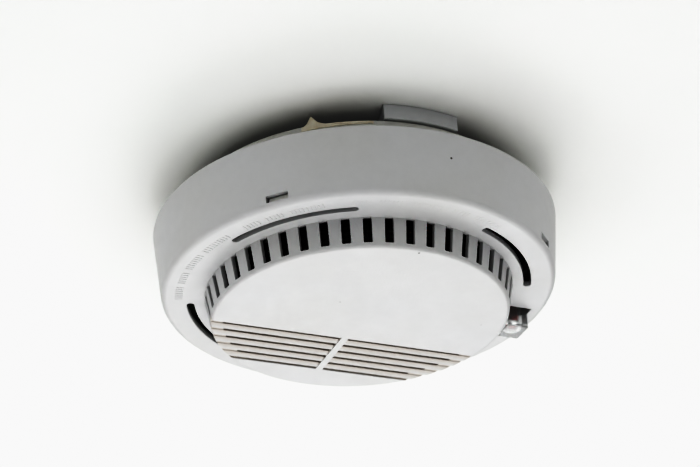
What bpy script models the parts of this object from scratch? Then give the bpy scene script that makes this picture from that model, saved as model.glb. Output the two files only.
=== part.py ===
"""Ceiling smoke detector: bracket, rear housing with electronics and battery, front cover and test button.

Frame: +Z up, origin at the centre of the bracket's ceiling face, so the detector hangs below z = 0 with its
louvred face down. The louvres run along X, the test button is at +X, and the bracket's block is at -Y.
Sizes below are in millimetres. Each mesh is scaled to metres as its object is made.
"""

import math

import bmesh
import bpy
from mathutils import Matrix, Vector

MM = 0.001
GAP = 0.3
LONG = 4.0  # how far a cutter reaches past the wall it cuts

# Mounting bracket
BRACKET_R = 50.0
BRACKET_T = 2.0
BLOCK_R_IN = 44.0
BLOCK_R_OUT = 63.2
BRACKET_RIM = 0.6
BLOCK_ANGLE = math.radians(270.0)
BLOCK_HALF_ANGLE = math.radians(12.7)
BLOCK_DEPTH = 5.7
BLOCK_WALL = 3.0
BLOCK_END_WALL = 0.04  # radians
HOOK_R_IN = 43.0
HOOK_STEM = 2.0
HOOK_TOE = 3.5
HOOK_HALF_WIDTH = 4.5
HOOK_TOP = -8.4
HOOK_END = -10.0
HOOK_ANGLES = [math.radians(a) for a in (75.0, 190.0, 325.0)]  # clear of the battery
TWIST = math.radians(15.0)
KEYHOLE_X = 30.0
KEYHOLE_HEAD_R = 4.6
KEYHOLE_NECK_R = 2.4
KEYHOLE_RUN = 9.0

# Rear housing
HOUSING_R = 62.1
HOUSING_BACK_Z = -6.0
HOUSING_FLOOR_Z = -8.0
HOUSING_WALL = 2.0
HOUSING_EDGE = 0.8
FLANGE_R = 70.3
FLANGE_BACK_Z = -15.5
FLANGE_FRONT_Z = -17.5
BOSS_R = 3.2
BOSS_BORE_R = 1.5
SNAP_R_IN = 66.4
SNAP_R_OUT = 68.0
SNAP_END_Z = -37.7
SNAP_HALF_WIDTH = 3.7

# Front cover
COVER_BACK_R = 73.0
COVER_FRONT_R = 70.4
COVER_BACK_Z = -15.0
COVER_FACE_Z = -40.1
COVER_WALL = 2.0
RIM_ROUND = 2.3
DRUM_BASE_R = 55.0
DRUM_FACE_R = 53.0
DRUM_WALL = 1.2
DISC_Z = -50.7
DISC_T = 1.7
DISC_EDGE = 1.3
DRUM_SLOTS = 46
DRUM_SLOT_WIDTH = 2.9
DRUM_SLOT_BACK_Z = -40.2
DRUM_SLOT_FRONT_Z = -48.8
ARC_SLOT_R = 60.3
ARC_SLOT_WIDTH = 2.6
ARC_SLOT_HALF_ANGLE = math.radians(21.3)
DIAGONALS = [math.radians(a) for a in (45.0, 135.0, 225.0, 315.0)]
WINDOW_HALF_WIDTH = 4.0
WINDOW_BACK_Z = -35.3
WINDOW_FRONT_Z = -38.0
NOTCH_X_IN = 55.2
NOTCH_X_OUT = 65.15
NOTCH_HALF_WIDTH = 7.6

# Insect screen inside the drum
SCREEN_R_OUT = 50.9
SCREEN_T = 0.6
SCREEN_BACK_Z = -39.5
SCREEN_FRONT_Z = -48.3
SCREEN_MARGIN = 1.5
SCREEN_OPENING = 4.0

# Louvres in the disc
LOUVRE_FIRST_Y = 14.15
LOUVRE_PITCH = 4.85
LOUVRE_GAPS = 6
LOUVRE_GAP = 1.9
LOUVRE_LAST_GAP = 1.5
LOUVRE_R = 48.9
LOUVRE_RIB_X = -0.3
LOUVRE_RIB_HALF = 1.3
BLADE_T = 0.9
BLADE_NEAR_SINK = 1.0
BLADE_FAR_SINK = 0.1
TAIL_WIDTH = 1.4
TAIL_DEPTH = 1.3

# Test button and its switch
BUTTON_X = 60.5
BUTTON_HALF_X = 4.4
BUTTON_HALF_Y = 4.75
BUTTON_FACE_Z = -46.2
BUTTON_BACK_Z = -34.0
BUTTON_BORE_R = 3.3
BUTTON_BORE_END_Z = -44.7
LIP_MARGIN_X = 1.1
LIP_HALF_Y = 8.7
LIP_FRONT_Z = -37.8
LIP_BACK_Z = -36.3
BUTTON_TRAVEL = 1.5
PLUNGER_X = 61.0
PLUNGER_Y = 6.8
PLUNGER_HALF = 1.0
LEAF_T = 0.4
LEAF_HALF_WIDTH = 1.6
LEAF_PIVOT_X = 46.3
LEAF_TIP_X = 63.0
LEAF_Z = -29.5

# Circuit board and what stands on it
BOARD_R = 64.0
BOARD_CUT_Y = -20.0
BOARD_BACK_Z = -20.0
BOARD_T = 1.6
BOARD_FRONT_Z = BOARD_BACK_Z - BOARD_T
SEAT_Z = BOARD_FRONT_Z - GAP
BOARD_SCREWS = [(-52.0, 5.0), (54.0, -14.0), (-26.0, 50.0)]
BOARD_HOLE_R = 1.7
CHAMBER_X = -16.0
CHAMBER_Y = -1.0
CHAMBER_R = 17.0
CHAMBER_BASE_T = 3.0
CHAMBER_END_Z = -44.0
HORN_X = 8.0
HORN_Y = 30.0
HORN_R = 16.5
HORN_END_Z = -45.5
HORN_LEDGE_Z = -33.0
LED_R = 2.5
LED_TIP_Z = -42.7
LED_BACK_Z = -35.0
LED_LEG_SPACING = 2.54
CHIP_X = 32.0
CHIP_Y = 1.0
CHIP_HALF_X = 9.8
CHIP_HALF_Y = 3.2
CHIP_T = 3.4
CHIP_LIFT = 0.5
CHIP_PINS = 8  # to a side
CHIP_PITCH = 2.54
RESISTORS = [(-46.0, 22.0), (-46.0, 27.0), (-46.0, 32.0)]

# Battery
BATTERY_X0 = -23.0
BATTERY_X1 = 23.0
BATTERY_Y = -36.0
BATTERY_HALF_Y = 13.25
BATTERY_BACK_Z = -8.6
BATTERY_T = 17.5
TERMINAL_SPACING = 12.7
TERMINAL_LENGTH = 2.9
RIB_X = (-32.5, 24.0)
RIB_T = 1.6
RIB_END_Z = -19.0
RIB_CLEARANCE = 0.5
CLIP_X = 12.0
CLIP_HALF_WIDTH = 4.0
CLIP_T = 1.5
CLIP_CATCH = 1.2
CLIP_TIP = 1.6
CONTACT_T = 0.6
HOLDER_T = 3.4
WIRE_R = 0.65
RED = (0.60, 0.03, 0.03)
BLACK = (0.02, 0.02, 0.02)

SEGMENTS = 92  # two facets to each drum slot
SMALL_SEGMENTS = 24
TINY_SEGMENTS = 12


# ---------------------------------------------------------------- scene helpers


def clear_scene():
    for obj in list(bpy.data.objects):
        bpy.data.objects.remove(obj, do_unlink=True)


def finish(name, colour, roughness, metallic=0.0, alpha=1.0):
    """A Principled BSDF material."""
    material = bpy.data.materials.new(name)
    material.use_nodes = True
    shader = material.node_tree.nodes["Principled BSDF"]
    shader.inputs["Base Color"].default_value = (*colour, 1.0)
    shader.inputs["Roughness"].default_value = roughness
    shader.inputs["Metallic"].default_value = metallic
    if alpha < 1.0:
        shader.inputs["Transmission Weight"].default_value = 1.0 - alpha
    material.diffuse_color = (*colour, alpha)
    return material


def add_object(name, bm, material=None):
    """An object made from a mesh in millimetres. The bmesh is freed."""
    bmesh.ops.scale(bm, vec=(MM, MM, MM), verts=bm.verts)
    bmesh.ops.recalc_face_normals(bm, faces=bm.faces)
    mesh = bpy.data.meshes.new(name)
    bm.to_mesh(mesh)
    bm.free()
    if material:
        mesh.materials.append(material)
        mesh.shade_smooth()
        mesh.set_sharp_from_angle(angle=math.radians(30.0))
    obj = bpy.data.objects.new(name, mesh)
    bpy.context.scene.collection.objects.link(obj)
    return obj


def combine(obj, operation, *tools):
    """Booleans each tool mesh with the object: the tools become hidden helper objects."""
    for bm in tools:
        helper = add_object(f"{obj.name}.{operation.lower()}", bm)
        helper.hide_render = True
        helper.display_type = "WIRE"
        helper.parent = obj
        modifier = obj.modifiers.new(operation.title(), "BOOLEAN")
        modifier.operation = operation
        modifier.object = helper
    return obj


def bevel(obj, width):
    modifier = obj.modifiers.new("Edges", "BEVEL")
    modifier.width = width * MM
    modifier.segments = 2
    modifier.limit_method = "ANGLE"
    modifier.angle_limit = math.radians(40.0)
    return obj


def axis_empty(name, place, parent=None):
    """The empty that carries one moving body, on the body's joint axis."""
    empty = bpy.data.objects.new(name, None)
    empty.location = Vector(place) * MM
    empty.empty_display_size = 0.01
    bpy.context.scene.collection.objects.link(empty)
    if parent:
        adopt(parent, [empty])
    return empty


def adopt(parent, children):
    """Parents the children without moving them."""
    bpy.context.view_layer.update()
    for child in children:
        child.parent = parent
        child.matrix_parent_inverse = parent.matrix_world.inverted()


# ---------------------------------------------------------------- shape helpers


def polar(radius, angle):
    return radius * math.cos(angle), radius * math.sin(angle)


def arc(radius, start, end, steps, centre=(0.0, 0.0)):
    """Points along an arc, both ends included."""
    angles = [start + (end - start) * i / steps for i in range(steps + 1)]
    return [(centre[0] + radius * math.cos(a), centre[1] + radius * math.sin(a)) for a in angles]


def prism(outline, z0, z1):
    """A closed prism over an outline in XY, from z0 to z1."""
    bm = bmesh.new()
    face = bm.faces.new([bm.verts.new((x, y, min(z0, z1))) for x, y in outline])
    grown = bmesh.ops.extrude_face_region(bm, geom=[face])
    top = [v for v in grown["geom"] if isinstance(v, bmesh.types.BMVert)]
    bmesh.ops.translate(bm, vec=(0.0, 0.0, abs(z1 - z0)), verts=top)
    return bm


def prism_x(outline, x0, x1):
    """A closed prism over an outline in YZ, from x0 to x1."""
    bm = prism(outline, x0, x1)
    turn = Matrix(((0, 0, 1), (1, 0, 0), (0, 1, 0)))
    bmesh.ops.transform(bm, matrix=turn.to_4x4(), verts=bm.verts)
    return bm


def box(x0, x1, y0, y1, z0, z1):
    return prism([(x0, y0), (x1, y0), (x1, y1), (x0, y1)], z0, z1)


def rod(radius, x, y, z0, z1, segments=SMALL_SEGMENTS):
    """An upright cylinder."""
    return prism(arc(radius, 0.0, math.tau, segments, (x, y))[:-1], z0, z1)


def rod_x(radius, y, z, x0, x1, segments=SMALL_SEGMENTS):
    """A cylinder along X."""
    return prism_x(arc(radius, 0.0, math.tau, segments, (y, z))[:-1], x0, x1)


def lathe(profile, segments=SEGMENTS, centre=(0.0, 0.0)):
    """The profile (r, z), a closed loop, spun about the vertical line through centre."""
    bm = bmesh.new()
    verts = [bm.verts.new((r, 0.0, z)) for r, z in profile]
    edges = [bm.edges.new((a, b)) for a, b in zip(verts, verts[1:] + verts[:1]) if a.co.x + b.co.x > 0]
    bmesh.ops.spin(
        bm,
        geom=verts + edges,
        cent=(0, 0, 0),
        axis=(0, 0, 1),
        angle=math.tau,
        steps=segments,
        use_merge=True,
    )
    bmesh.ops.remove_doubles(bm, verts=bm.verts, dist=1e-4)
    bmesh.ops.translate(bm, vec=(*centre, 0.0), verts=bm.verts)
    return bm


def merged(parts):
    """Several meshes that don't touch, as one mesh."""
    bm = bmesh.new()
    for part in parts:
        piece = bpy.data.meshes.new("piece")
        part.to_mesh(piece)
        part.free()
        bm.from_mesh(piece)
        bpy.data.meshes.remove(piece)
    return bm


def turned(bm, angle, centre=(0.0, 0.0, 0.0), axis="Z"):
    bmesh.ops.rotate(bm, cent=centre, matrix=Matrix.Rotation(angle, 3, axis), verts=bm.verts)
    return bm


def sector(r0, r1, start, end, z0, z1, steps=8):
    """A slab between two radii and two angles."""
    outline = arc(r0, start, end, steps) + arc(r1, end, start, steps)
    return prism(outline, z0, z1)


def wire(name, points, radius, material):
    """A smooth round wire through the points, closed at both ends."""
    curve = bpy.data.curves.new(name, "CURVE")
    curve.dimensions = "3D"
    curve.resolution_u = 4
    curve.bevel_depth = radius * MM
    curve.bevel_resolution = 1
    curve.use_fill_caps = True
    spline = curve.splines.new("BEZIER")
    spline.bezier_points.add(len(points) - 1)
    for knot, point in zip(spline.bezier_points, points):
        knot.co = Vector(point) * MM
        knot.handle_left_type = "AUTO"
        knot.handle_right_type = "AUTO"
    curve.materials.append(material)
    obj = bpy.data.objects.new(name, curve)
    bpy.context.scene.collection.objects.link(obj)
    return obj


# ---------------------------------------------------------------- mounting bracket


def keyhole(x):
    """A keyhole cutter: a round hole for the screw head, with a neck running along Y."""
    head = arc(KEYHOLE_HEAD_R, math.radians(122), math.radians(418), 14, (x, 0.0))
    tip = arc(KEYHOLE_NECK_R, 0.0, math.pi, 6, (x, KEYHOLE_RUN))
    return prism(head + tip, -BRACKET_T - LONG, LONG)


def hook(angle):
    """A bayonet hook: a stem from the plate, with a toe that points outwards."""
    outline = [
        (HOOK_R_IN, -1.0),
        (HOOK_R_IN, HOOK_END),
        (HOOK_R_IN + HOOK_STEM + HOOK_TOE, HOOK_END),
        (HOOK_R_IN + HOOK_STEM + HOOK_TOE, HOOK_TOP),
        (HOOK_R_IN + HOOK_STEM, HOOK_TOP),
        (HOOK_R_IN + HOOK_STEM, -1.0),
    ]
    shape = prism_x(outline, -HOOK_HALF_WIDTH, HOOK_HALF_WIDTH)
    return turned(shape, angle - math.pi / 2)


def bracket_plate():
    profile = [
        (0, 0),
        (BRACKET_R, 0),
        (BRACKET_R, BRACKET_RIM - BRACKET_T),
        (BRACKET_R - BRACKET_RIM, -BRACKET_T),
        (0, -BRACKET_T),
    ]
    return lathe(profile)


def mounting_bracket():
    colour = finish("bracket_plastic", (0.62, 0.63, 0.65), 0.55)
    obj = add_object("mounting_bracket", bracket_plate(), colour)
    start, end = BLOCK_ANGLE - BLOCK_HALF_ANGLE, BLOCK_ANGLE + BLOCK_HALF_ANGLE
    block = sector(BLOCK_R_IN, BLOCK_R_OUT, start, end, -BLOCK_DEPTH, 0.0)
    hollow = sector(
        HOOK_R_IN + HOOK_STEM + HOOK_TOE,
        BLOCK_R_OUT - BLOCK_WALL,
        start + BLOCK_END_WALL,
        end - BLOCK_END_WALL,
        -BLOCK_DEPTH - LONG,
        -BRACKET_T,
    )
    combine(obj, "UNION", block)
    combine(obj, "DIFFERENCE", hollow)
    combine(obj, "UNION", *[hook(angle) for angle in HOOK_ANGLES])
    combine(obj, "DIFFERENCE", merged([keyhole(-KEYHOLE_X), keyhole(KEYHOLE_X)]))
    return obj


# ---------------------------------------------------------------- rear housing


def bayonet_opening(angle):
    """A cutter that lets one hook in at the unlocked turn and holds its toe at the locked turn."""
    slack = math.radians(1.2)
    reach = HOOK_HALF_WIDTH / (HOOK_R_IN + 1.0)
    low, high = HOUSING_FLOOR_Z - 1.0, HOUSING_BACK_Z + LONG
    start = angle - reach - slack
    step = angle + TWIST - reach - slack
    end = angle + TWIST + reach + slack
    r0 = HOOK_R_IN - 0.5
    r1 = HOOK_R_IN + HOOK_STEM + 0.5
    r2 = r1 + HOOK_TOE
    outline = arc(r0, start, end, 10) + arc(r2, end, step, 6) + arc(r1, step, start, 6)
    return prism(outline, low, high)


def snap_arm(angle):
    """A latch arm that stands on the flange just inside the cover's wall, behind one window."""
    root = FLANGE_FRONT_Z + 1.0
    arm = box(SNAP_R_IN, SNAP_R_OUT, -SNAP_HALF_WIDTH, SNAP_HALF_WIDTH, SNAP_END_Z, root)
    return turned(arm, angle)


def battery_rib():
    """The rib along the battery's near side."""
    side = BATTERY_Y + BATTERY_HALF_Y + RIB_CLEARANCE
    return box(*RIB_X, side, side + RIB_T, RIB_END_Z, HOUSING_FLOOR_Z + 1.0)


def battery_clip(x):
    """A springy clip whose hooked tip holds the battery's far side against the floor."""
    far = BATTERY_Y - BATTERY_HALF_Y
    root = HOUSING_FLOOR_Z + 1.0
    tip = BATTERY_BACK_Z - BATTERY_T - CLIP_TIP
    front = far - RIB_CLEARANCE
    back = front - CLIP_T
    outline = [
        (back, root),
        (front, root),
        (front, tip + 1.2),
        (far + CLIP_CATCH, tip + 1.2),
        (far - 0.4, tip - 0.2),
        (back, tip - 0.2),
    ]
    return prism_x(outline, x - CLIP_HALF_WIDTH, x + CLIP_HALF_WIDTH)


def rear_housing():
    inner = HOUSING_R - HOUSING_WALL
    profile = [
        (0, HOUSING_BACK_Z),
        (HOUSING_R - HOUSING_EDGE, HOUSING_BACK_Z),
        (HOUSING_R, HOUSING_BACK_Z - HOUSING_EDGE),
        (HOUSING_R, FLANGE_BACK_Z),
        (FLANGE_R, FLANGE_BACK_Z),
        (FLANGE_R, FLANGE_FRONT_Z),
        (inner, FLANGE_FRONT_Z),
        (inner, HOUSING_FLOOR_Z),
        (0, HOUSING_FLOOR_Z),
    ]
    obj = add_object("rear_housing", lathe(profile), finish("housing_plastic", (0.66, 0.66, 0.66), 0.5))
    root = HOUSING_FLOOR_Z + 1.0
    added = [rod(BOSS_R, x, y, BOARD_BACK_Z + GAP, root) for x, y in BOARD_SCREWS]
    added += [battery_rib(), battery_clip(-CLIP_X), battery_clip(CLIP_X)]
    added += [snap_arm(angle) for angle in DIAGONALS]
    combine(obj, "UNION", *added)
    low, high = BOARD_BACK_Z - LONG, HOUSING_FLOOR_Z - 2.0
    bores = [rod(BOSS_BORE_R, x, y, low, high, TINY_SEGMENTS) for x, y in BOARD_SCREWS]
    combine(obj, "DIFFERENCE", merged(bores), merged([bayonet_opening(angle) for angle in HOOK_ANGLES]))
    return obj


# ---------------------------------------------------------------- front cover


def cover_profile():
    """The cover's closed section: outer wall, flat rim, drum and disc, then back along the inside."""
    corner = (COVER_FRONT_R - RIM_ROUND, COVER_FACE_Z + RIM_ROUND)
    inner_back = COVER_BACK_R - COVER_WALL
    inner_front = COVER_FRONT_R - COVER_WALL
    drum_inner_face = DRUM_FACE_R - DRUM_WALL
    drum_inner_base = DRUM_BASE_R - DRUM_WALL
    disc_corner = (DRUM_FACE_R - DISC_EDGE, DISC_Z + DISC_EDGE)
    outside = [(COVER_BACK_R, COVER_BACK_Z)] + arc(RIM_ROUND, 0.0, -math.pi / 2, 4, corner)
    outside += [(DRUM_BASE_R, COVER_FACE_Z)] + arc(DISC_EDGE, 0.0, -math.pi / 2, 3, disc_corner)
    inside = [
        (drum_inner_face, DISC_Z + DISC_T),
        (drum_inner_base, COVER_FACE_Z + COVER_WALL),
        (inner_front, COVER_FACE_Z + COVER_WALL),
        (inner_back, COVER_BACK_Z),
    ]
    return outside + [(0, DISC_Z), (0, DISC_Z + DISC_T)] + inside


def drum_slots():
    r0, r1 = DRUM_FACE_R - DRUM_WALL - 1.0, DRUM_BASE_R + 1.0
    half = DRUM_SLOT_WIDTH / 2
    bars = []
    for i in range(DRUM_SLOTS):
        bar = box(r0, r1, -half, half, DRUM_SLOT_FRONT_Z, DRUM_SLOT_BACK_Z)
        bars.append(turned(bar, math.tau * i / DRUM_SLOTS))
    return merged(bars)


def arc_slot(angle):
    """A slot with round ends that follows a circle on the cover's flat rim."""
    half = ARC_SLOT_WIDTH / 2
    start, end = angle - ARC_SLOT_HALF_ANGLE, angle + ARC_SLOT_HALF_ANGLE
    first, last = polar(ARC_SLOT_R, start), polar(ARC_SLOT_R, end)
    outline = arc(ARC_SLOT_R - half, end, start, 12)
    outline += arc(half, start + math.pi, start + math.tau, 6, first)[1:-1]
    outline += arc(ARC_SLOT_R + half, start, end, 12)
    outline += arc(half, end, end + math.pi, 6, last)[1:-1]
    return prism(outline, COVER_FACE_Z - LONG, COVER_FACE_Z + COVER_WALL + 1.0)


def window(angle):
    """A rectangular opening in the cover's wall for one latch."""
    half = WINDOW_HALF_WIDTH
    shape = box(SNAP_R_OUT, COVER_FRONT_R + LONG, -half, half, WINDOW_FRONT_Z, WINDOW_BACK_Z)
    return turned(shape, angle)


def louvre_y(i):
    return LOUVRE_FIRST_Y + i * LOUVRE_PITCH


def louvre_opening(side):
    """The field of the louvres on one side of the middle rib: side is 1 at +X and -1 at -X."""
    low = louvre_y(0)
    high = louvre_y(LOUVRE_GAPS - 1) + LOUVRE_LAST_GAP
    rib = LOUVRE_RIB_X + side * LOUVRE_RIB_HALF
    start, end = math.asin(low / LOUVRE_R), math.asin(high / LOUVRE_R)
    outline = [(side * x, y) for x, y in arc(LOUVRE_R, start, end, 10)]
    return prism([(rib, low)] + outline + [(rib, high)], DISC_Z - LONG, DISC_Z + DISC_T + LONG)


def louvre_blade(i):
    """A blade that starts behind the face at its near edge and comes forward to its far edge."""
    near = louvre_y(i) + LOUVRE_GAP
    far = louvre_y(i + 1)
    reach = math.sqrt(LOUVRE_R**2 - near**2) + 0.8
    outline = [
        (near, DISC_Z + BLADE_NEAR_SINK),
        (far, DISC_Z + BLADE_FAR_SINK),
        (far, DISC_Z + BLADE_FAR_SINK + BLADE_T),
        (near, DISC_Z + BLADE_NEAR_SINK + BLADE_T),
    ]
    return prism_x(outline, -reach, reach)


def louvre_tails():
    """Shallow grooves that carry each gap out through the disc's edge."""
    half = TAIL_WIDTH / 2
    tails = []
    for i in range(LOUVRE_GAPS):
        y = louvre_y(i) + half + 0.1
        inner = math.sqrt(LOUVRE_R**2 - y**2) - 0.3
        outer = math.sqrt(DRUM_FACE_R**2 - y**2) + 2.0
        for x0, x1 in ((inner, outer), (-outer, -inner)):
            tails.append(box(x0, x1, y - half, y + half, DISC_Z - 1.0, DISC_Z + TAIL_DEPTH))
    return merged(tails)


def button_notch():
    low, high = COVER_FACE_Z - LONG, COVER_FACE_Z + LONG
    return box(NOTCH_X_IN, NOTCH_X_OUT, -NOTCH_HALF_WIDTH, NOTCH_HALF_WIDTH, low, high)


def front_cover():
    obj = add_object("front_cover", lathe(cover_profile()), finish("cover_plastic", (0.80, 0.80, 0.79), 0.45))
    slots = merged([arc_slot(angle) for angle in DIAGONALS])
    windows = merged([window(angle) for angle in DIAGONALS])
    louvres = merged([louvre_opening(-1), louvre_opening(1)])
    combine(obj, "DIFFERENCE", drum_slots(), slots, windows, button_notch(), louvres)
    combine(obj, "UNION", merged([louvre_blade(i) for i in range(LOUVRE_GAPS - 1)]))
    combine(obj, "DIFFERENCE", louvre_tails())
    return obj


def insect_screen():
    """A thin ring with an opening behind each bar of the drum, just inside it."""
    r_in = SCREEN_R_OUT - SCREEN_T
    low, high = SCREEN_FRONT_Z, SCREEN_BACK_Z
    ring = lathe([(r_in, low), (SCREEN_R_OUT, low), (SCREEN_R_OUT, high), (r_in, high)])
    obj = add_object("insect_screen", ring, finish("screen_plastic", (0.03, 0.03, 0.03), 0.6))
    half = SCREEN_OPENING / 2
    openings = []
    for i in range(DRUM_SLOTS):
        opening = box(r_in - 1.0, SCREEN_R_OUT + 1.0, -half, half, low + SCREEN_MARGIN, high - SCREEN_MARGIN)
        openings.append(turned(opening, math.tau * (i + 0.5) / DRUM_SLOTS))
    return combine(obj, "DIFFERENCE", merged(openings))


# ---------------------------------------------------------------- test button and switch


def test_button():
    """A clear block with a lip behind the cover, a blind bore over the lamp and a foot for the switch."""
    x0, x1 = BUTTON_X - BUTTON_HALF_X, BUTTON_X + BUTTON_HALF_X
    body = box(x0, x1, -BUTTON_HALF_Y, BUTTON_HALF_Y, BUTTON_FACE_Z, BUTTON_BACK_Z)
    lip = box(x0 - 0.9, x1 + LIP_MARGIN_X, -LIP_HALF_Y, LIP_HALF_Y, LIP_FRONT_Z, LIP_BACK_Z)
    foot_end = LEAF_Z - LEAF_T / 2 - GAP
    foot = box(
        PLUNGER_X - PLUNGER_HALF,
        PLUNGER_X + PLUNGER_HALF,
        PLUNGER_Y - PLUNGER_HALF,
        PLUNGER_Y + PLUNGER_HALF,
        LIP_FRONT_Z + 0.5,
        foot_end,
    )
    bore = rod(BUTTON_BORE_R, BUTTON_X, 0.0, BUTTON_BORE_END_Z, BUTTON_BACK_Z + LONG)
    obj = add_object("test_button", body, finish("clear_plastic", (0.82, 0.84, 0.83), 0.08, alpha=0.25))
    bevel(obj, 0.4)
    combine(obj, "UNION", lip, foot)
    combine(obj, "DIFFERENCE", bore)
    return obj


def test_switch_leaf():
    leaf = box(
        LEAF_PIVOT_X,
        LEAF_TIP_X,
        PLUNGER_Y - LEAF_HALF_WIDTH,
        PLUNGER_Y + LEAF_HALF_WIDTH,
        LEAF_Z - LEAF_T / 2,
        LEAF_Z + LEAF_T / 2,
    )
    return add_object("test_switch_leaf", leaf, finish("spring_bronze", (0.72, 0.50, 0.26), 0.3, 1.0))


def switch_fixed_parts():
    """The post that carries the leaf and the stud that the leaf meets when the button is pressed."""
    post = box(
        LEAF_PIVOT_X - GAP - 2.0,
        LEAF_PIVOT_X - GAP,
        PLUNGER_Y - LEAF_HALF_WIDTH,
        PLUNGER_Y + LEAF_HALF_WIDTH,
        LEAF_Z - 0.8,
        SEAT_Z,
    )
    tin = finish("tinned_metal", (0.74, 0.74, 0.72), 0.28, 1.0)
    rise = BUTTON_TRAVEL * (PLUNGER_X - LEAF_PIVOT_X) / (PLUNGER_X - PLUNGER_HALF - LEAF_PIVOT_X)
    stud_end = LEAF_Z + LEAF_T / 2 + rise + GAP + 0.2
    stud = rod(1.2, PLUNGER_X, PLUNGER_Y, stud_end, SEAT_Z, TINY_SEGMENTS)
    return [add_object("switch_post", post, tin), add_object("switch_contact_stud", stud, tin.copy())]


# ---------------------------------------------------------------- circuit board


def circuit_board():
    cut = math.asin(BOARD_CUT_Y / BOARD_R)
    board = prism(arc(BOARD_R, cut, math.pi - cut, 60), BOARD_BACK_Z, BOARD_FRONT_Z)
    obj = add_object("circuit_board", board, finish("board_laminate", (0.10, 0.28, 0.12), 0.45))
    low, high = BOARD_FRONT_Z - LONG, BOARD_BACK_Z + LONG
    holes = [rod(BOARD_HOLE_R, x, y, low, high, TINY_SEGMENTS) for x, y in BOARD_SCREWS]
    return combine(obj, "DIFFERENCE", merged(holes))


def board_screw(index, x, y):
    """A pan head screw with a cross recess, its shank inside the boss."""
    head_r, head_t, shank_r, length = 2.8, 1.8, 1.2, 9.0
    recess_half, recess_depth = (1.6, 0.35), 0.9
    top = SEAT_Z
    profile = [
        (0, top + length),
        (shank_r, top + length - 0.8),
        (shank_r, top),
        (head_r, top),
        (head_r, top - head_t * 0.55),
        (head_r * 0.72, top - head_t),
        (0, top - head_t),
    ]
    steel = finish(f"board_screw_{index}_steel", (0.58, 0.58, 0.60), 0.3, 1.0)
    obj = add_object(f"board_screw_{index}", lathe(profile, SMALL_SEGMENTS, (x, y)), steel)
    low, high = top - head_t - LONG, top - head_t + recess_depth
    for half_x, half_y in (recess_half, recess_half[::-1]):
        combine(obj, "DIFFERENCE", box(x - half_x, x + half_x, y - half_y, y + half_y, low, high))
    return obj


def chamber():
    """The ionisation chamber: a plastic base, a slotted metal can over it and the plate inside."""
    centre = (CHAMBER_X, CHAMBER_Y)
    base_end = SEAT_Z - CHAMBER_BASE_T
    base = lathe([(0, SEAT_Z), (CHAMBER_R, SEAT_Z), (CHAMBER_R, base_end), (0, base_end)], 36, centre)
    base_obj = add_object("chamber_base", base, finish("chamber_plastic", (0.08, 0.08, 0.09), 0.5))
    can_top = base_end - GAP
    can_r, wall, edge = CHAMBER_R - 1.5, 0.9, 1.2
    can_profile = [
        (can_r, can_top),
        (can_r, CHAMBER_END_Z + edge),
        (can_r - edge, CHAMBER_END_Z),
        (0, CHAMBER_END_Z),
        (0, CHAMBER_END_Z + wall),
        (can_r - edge - wall * 0.4, CHAMBER_END_Z + wall),
        (can_r - wall, CHAMBER_END_Z + edge + wall * 0.4),
        (can_r - wall, can_top),
    ]
    can_metal = finish("chamber_metal", (0.55, 0.55, 0.56), 0.35, 1.0)
    can = add_object("chamber_can", lathe(can_profile, 36, centre), can_metal)
    openings = []
    for i in range(9):
        bar = box(can_r - 3.0, can_r + 2.0, -2.0, 2.0, CHAMBER_END_Z + 3.0, CHAMBER_END_Z + 9.0)
        bmesh.ops.translate(bar, vec=(*centre, 0.0), verts=bar.verts)
        openings.append(turned(bar, math.tau * (i + 0.5) / 9, (*centre, 0.0)))
    combine(can, "DIFFERENCE", merged(openings))
    stem, plate_r, plate_z = 1.5, 8.0, base_end - 9.0
    plate_profile = [
        (0, base_end - GAP),
        (stem, base_end - GAP),
        (stem, plate_z),
        (plate_r, plate_z),
        (plate_r, plate_z - 1.0),
        (0, plate_z - 1.0),
    ]
    electrode = finish("electrode_steel", (0.66, 0.65, 0.60), 0.3, 1.0)
    plate = add_object("chamber_electrode", lathe(plate_profile, SMALL_SEGMENTS, centre), electrode)
    return [base_obj, can, plate]


def horn():
    """The horn: a round case with a sound hole, and a piezo disc of brass and ceramic on its ledge."""
    centre = (HORN_X, HORN_Y)
    wall, cap, hole_r = 1.5, 1.5, 4.0
    profile = [
        (HORN_R, SEAT_Z),
        (HORN_R, HORN_END_Z + 0.8),
        (HORN_R - 0.8, HORN_END_Z),
        (hole_r, HORN_END_Z),
        (hole_r, HORN_END_Z + cap),
        (HORN_R - wall - 2.0, HORN_END_Z + cap),
        (HORN_R - wall - 2.0, HORN_LEDGE_Z),
        (HORN_R - wall, HORN_LEDGE_Z),
        (HORN_R - wall, SEAT_Z),
    ]
    black = finish("horn_plastic", (0.07, 0.07, 0.08), 0.45)
    case = add_object("horn_case", lathe(profile, 36, centre), black)
    plate_z = HORN_LEDGE_Z + GAP
    plate = rod(HORN_R - wall - GAP, HORN_X, HORN_Y, plate_z, plate_z + 0.4, 36)
    brass = add_object("piezo_plate", plate, finish("piezo_brass", (0.80, 0.62, 0.28), 0.3, 1.0))
    ceramic_z = plate_z + 0.4 + GAP
    disc = rod(9.0, HORN_X, HORN_Y, ceramic_z, ceramic_z + 0.4, 36)
    ceramic = add_object("piezo_ceramic", disc, finish("piezo_ceramic", (0.86, 0.84, 0.78), 0.4))
    return [case, brass, ceramic]


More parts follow.
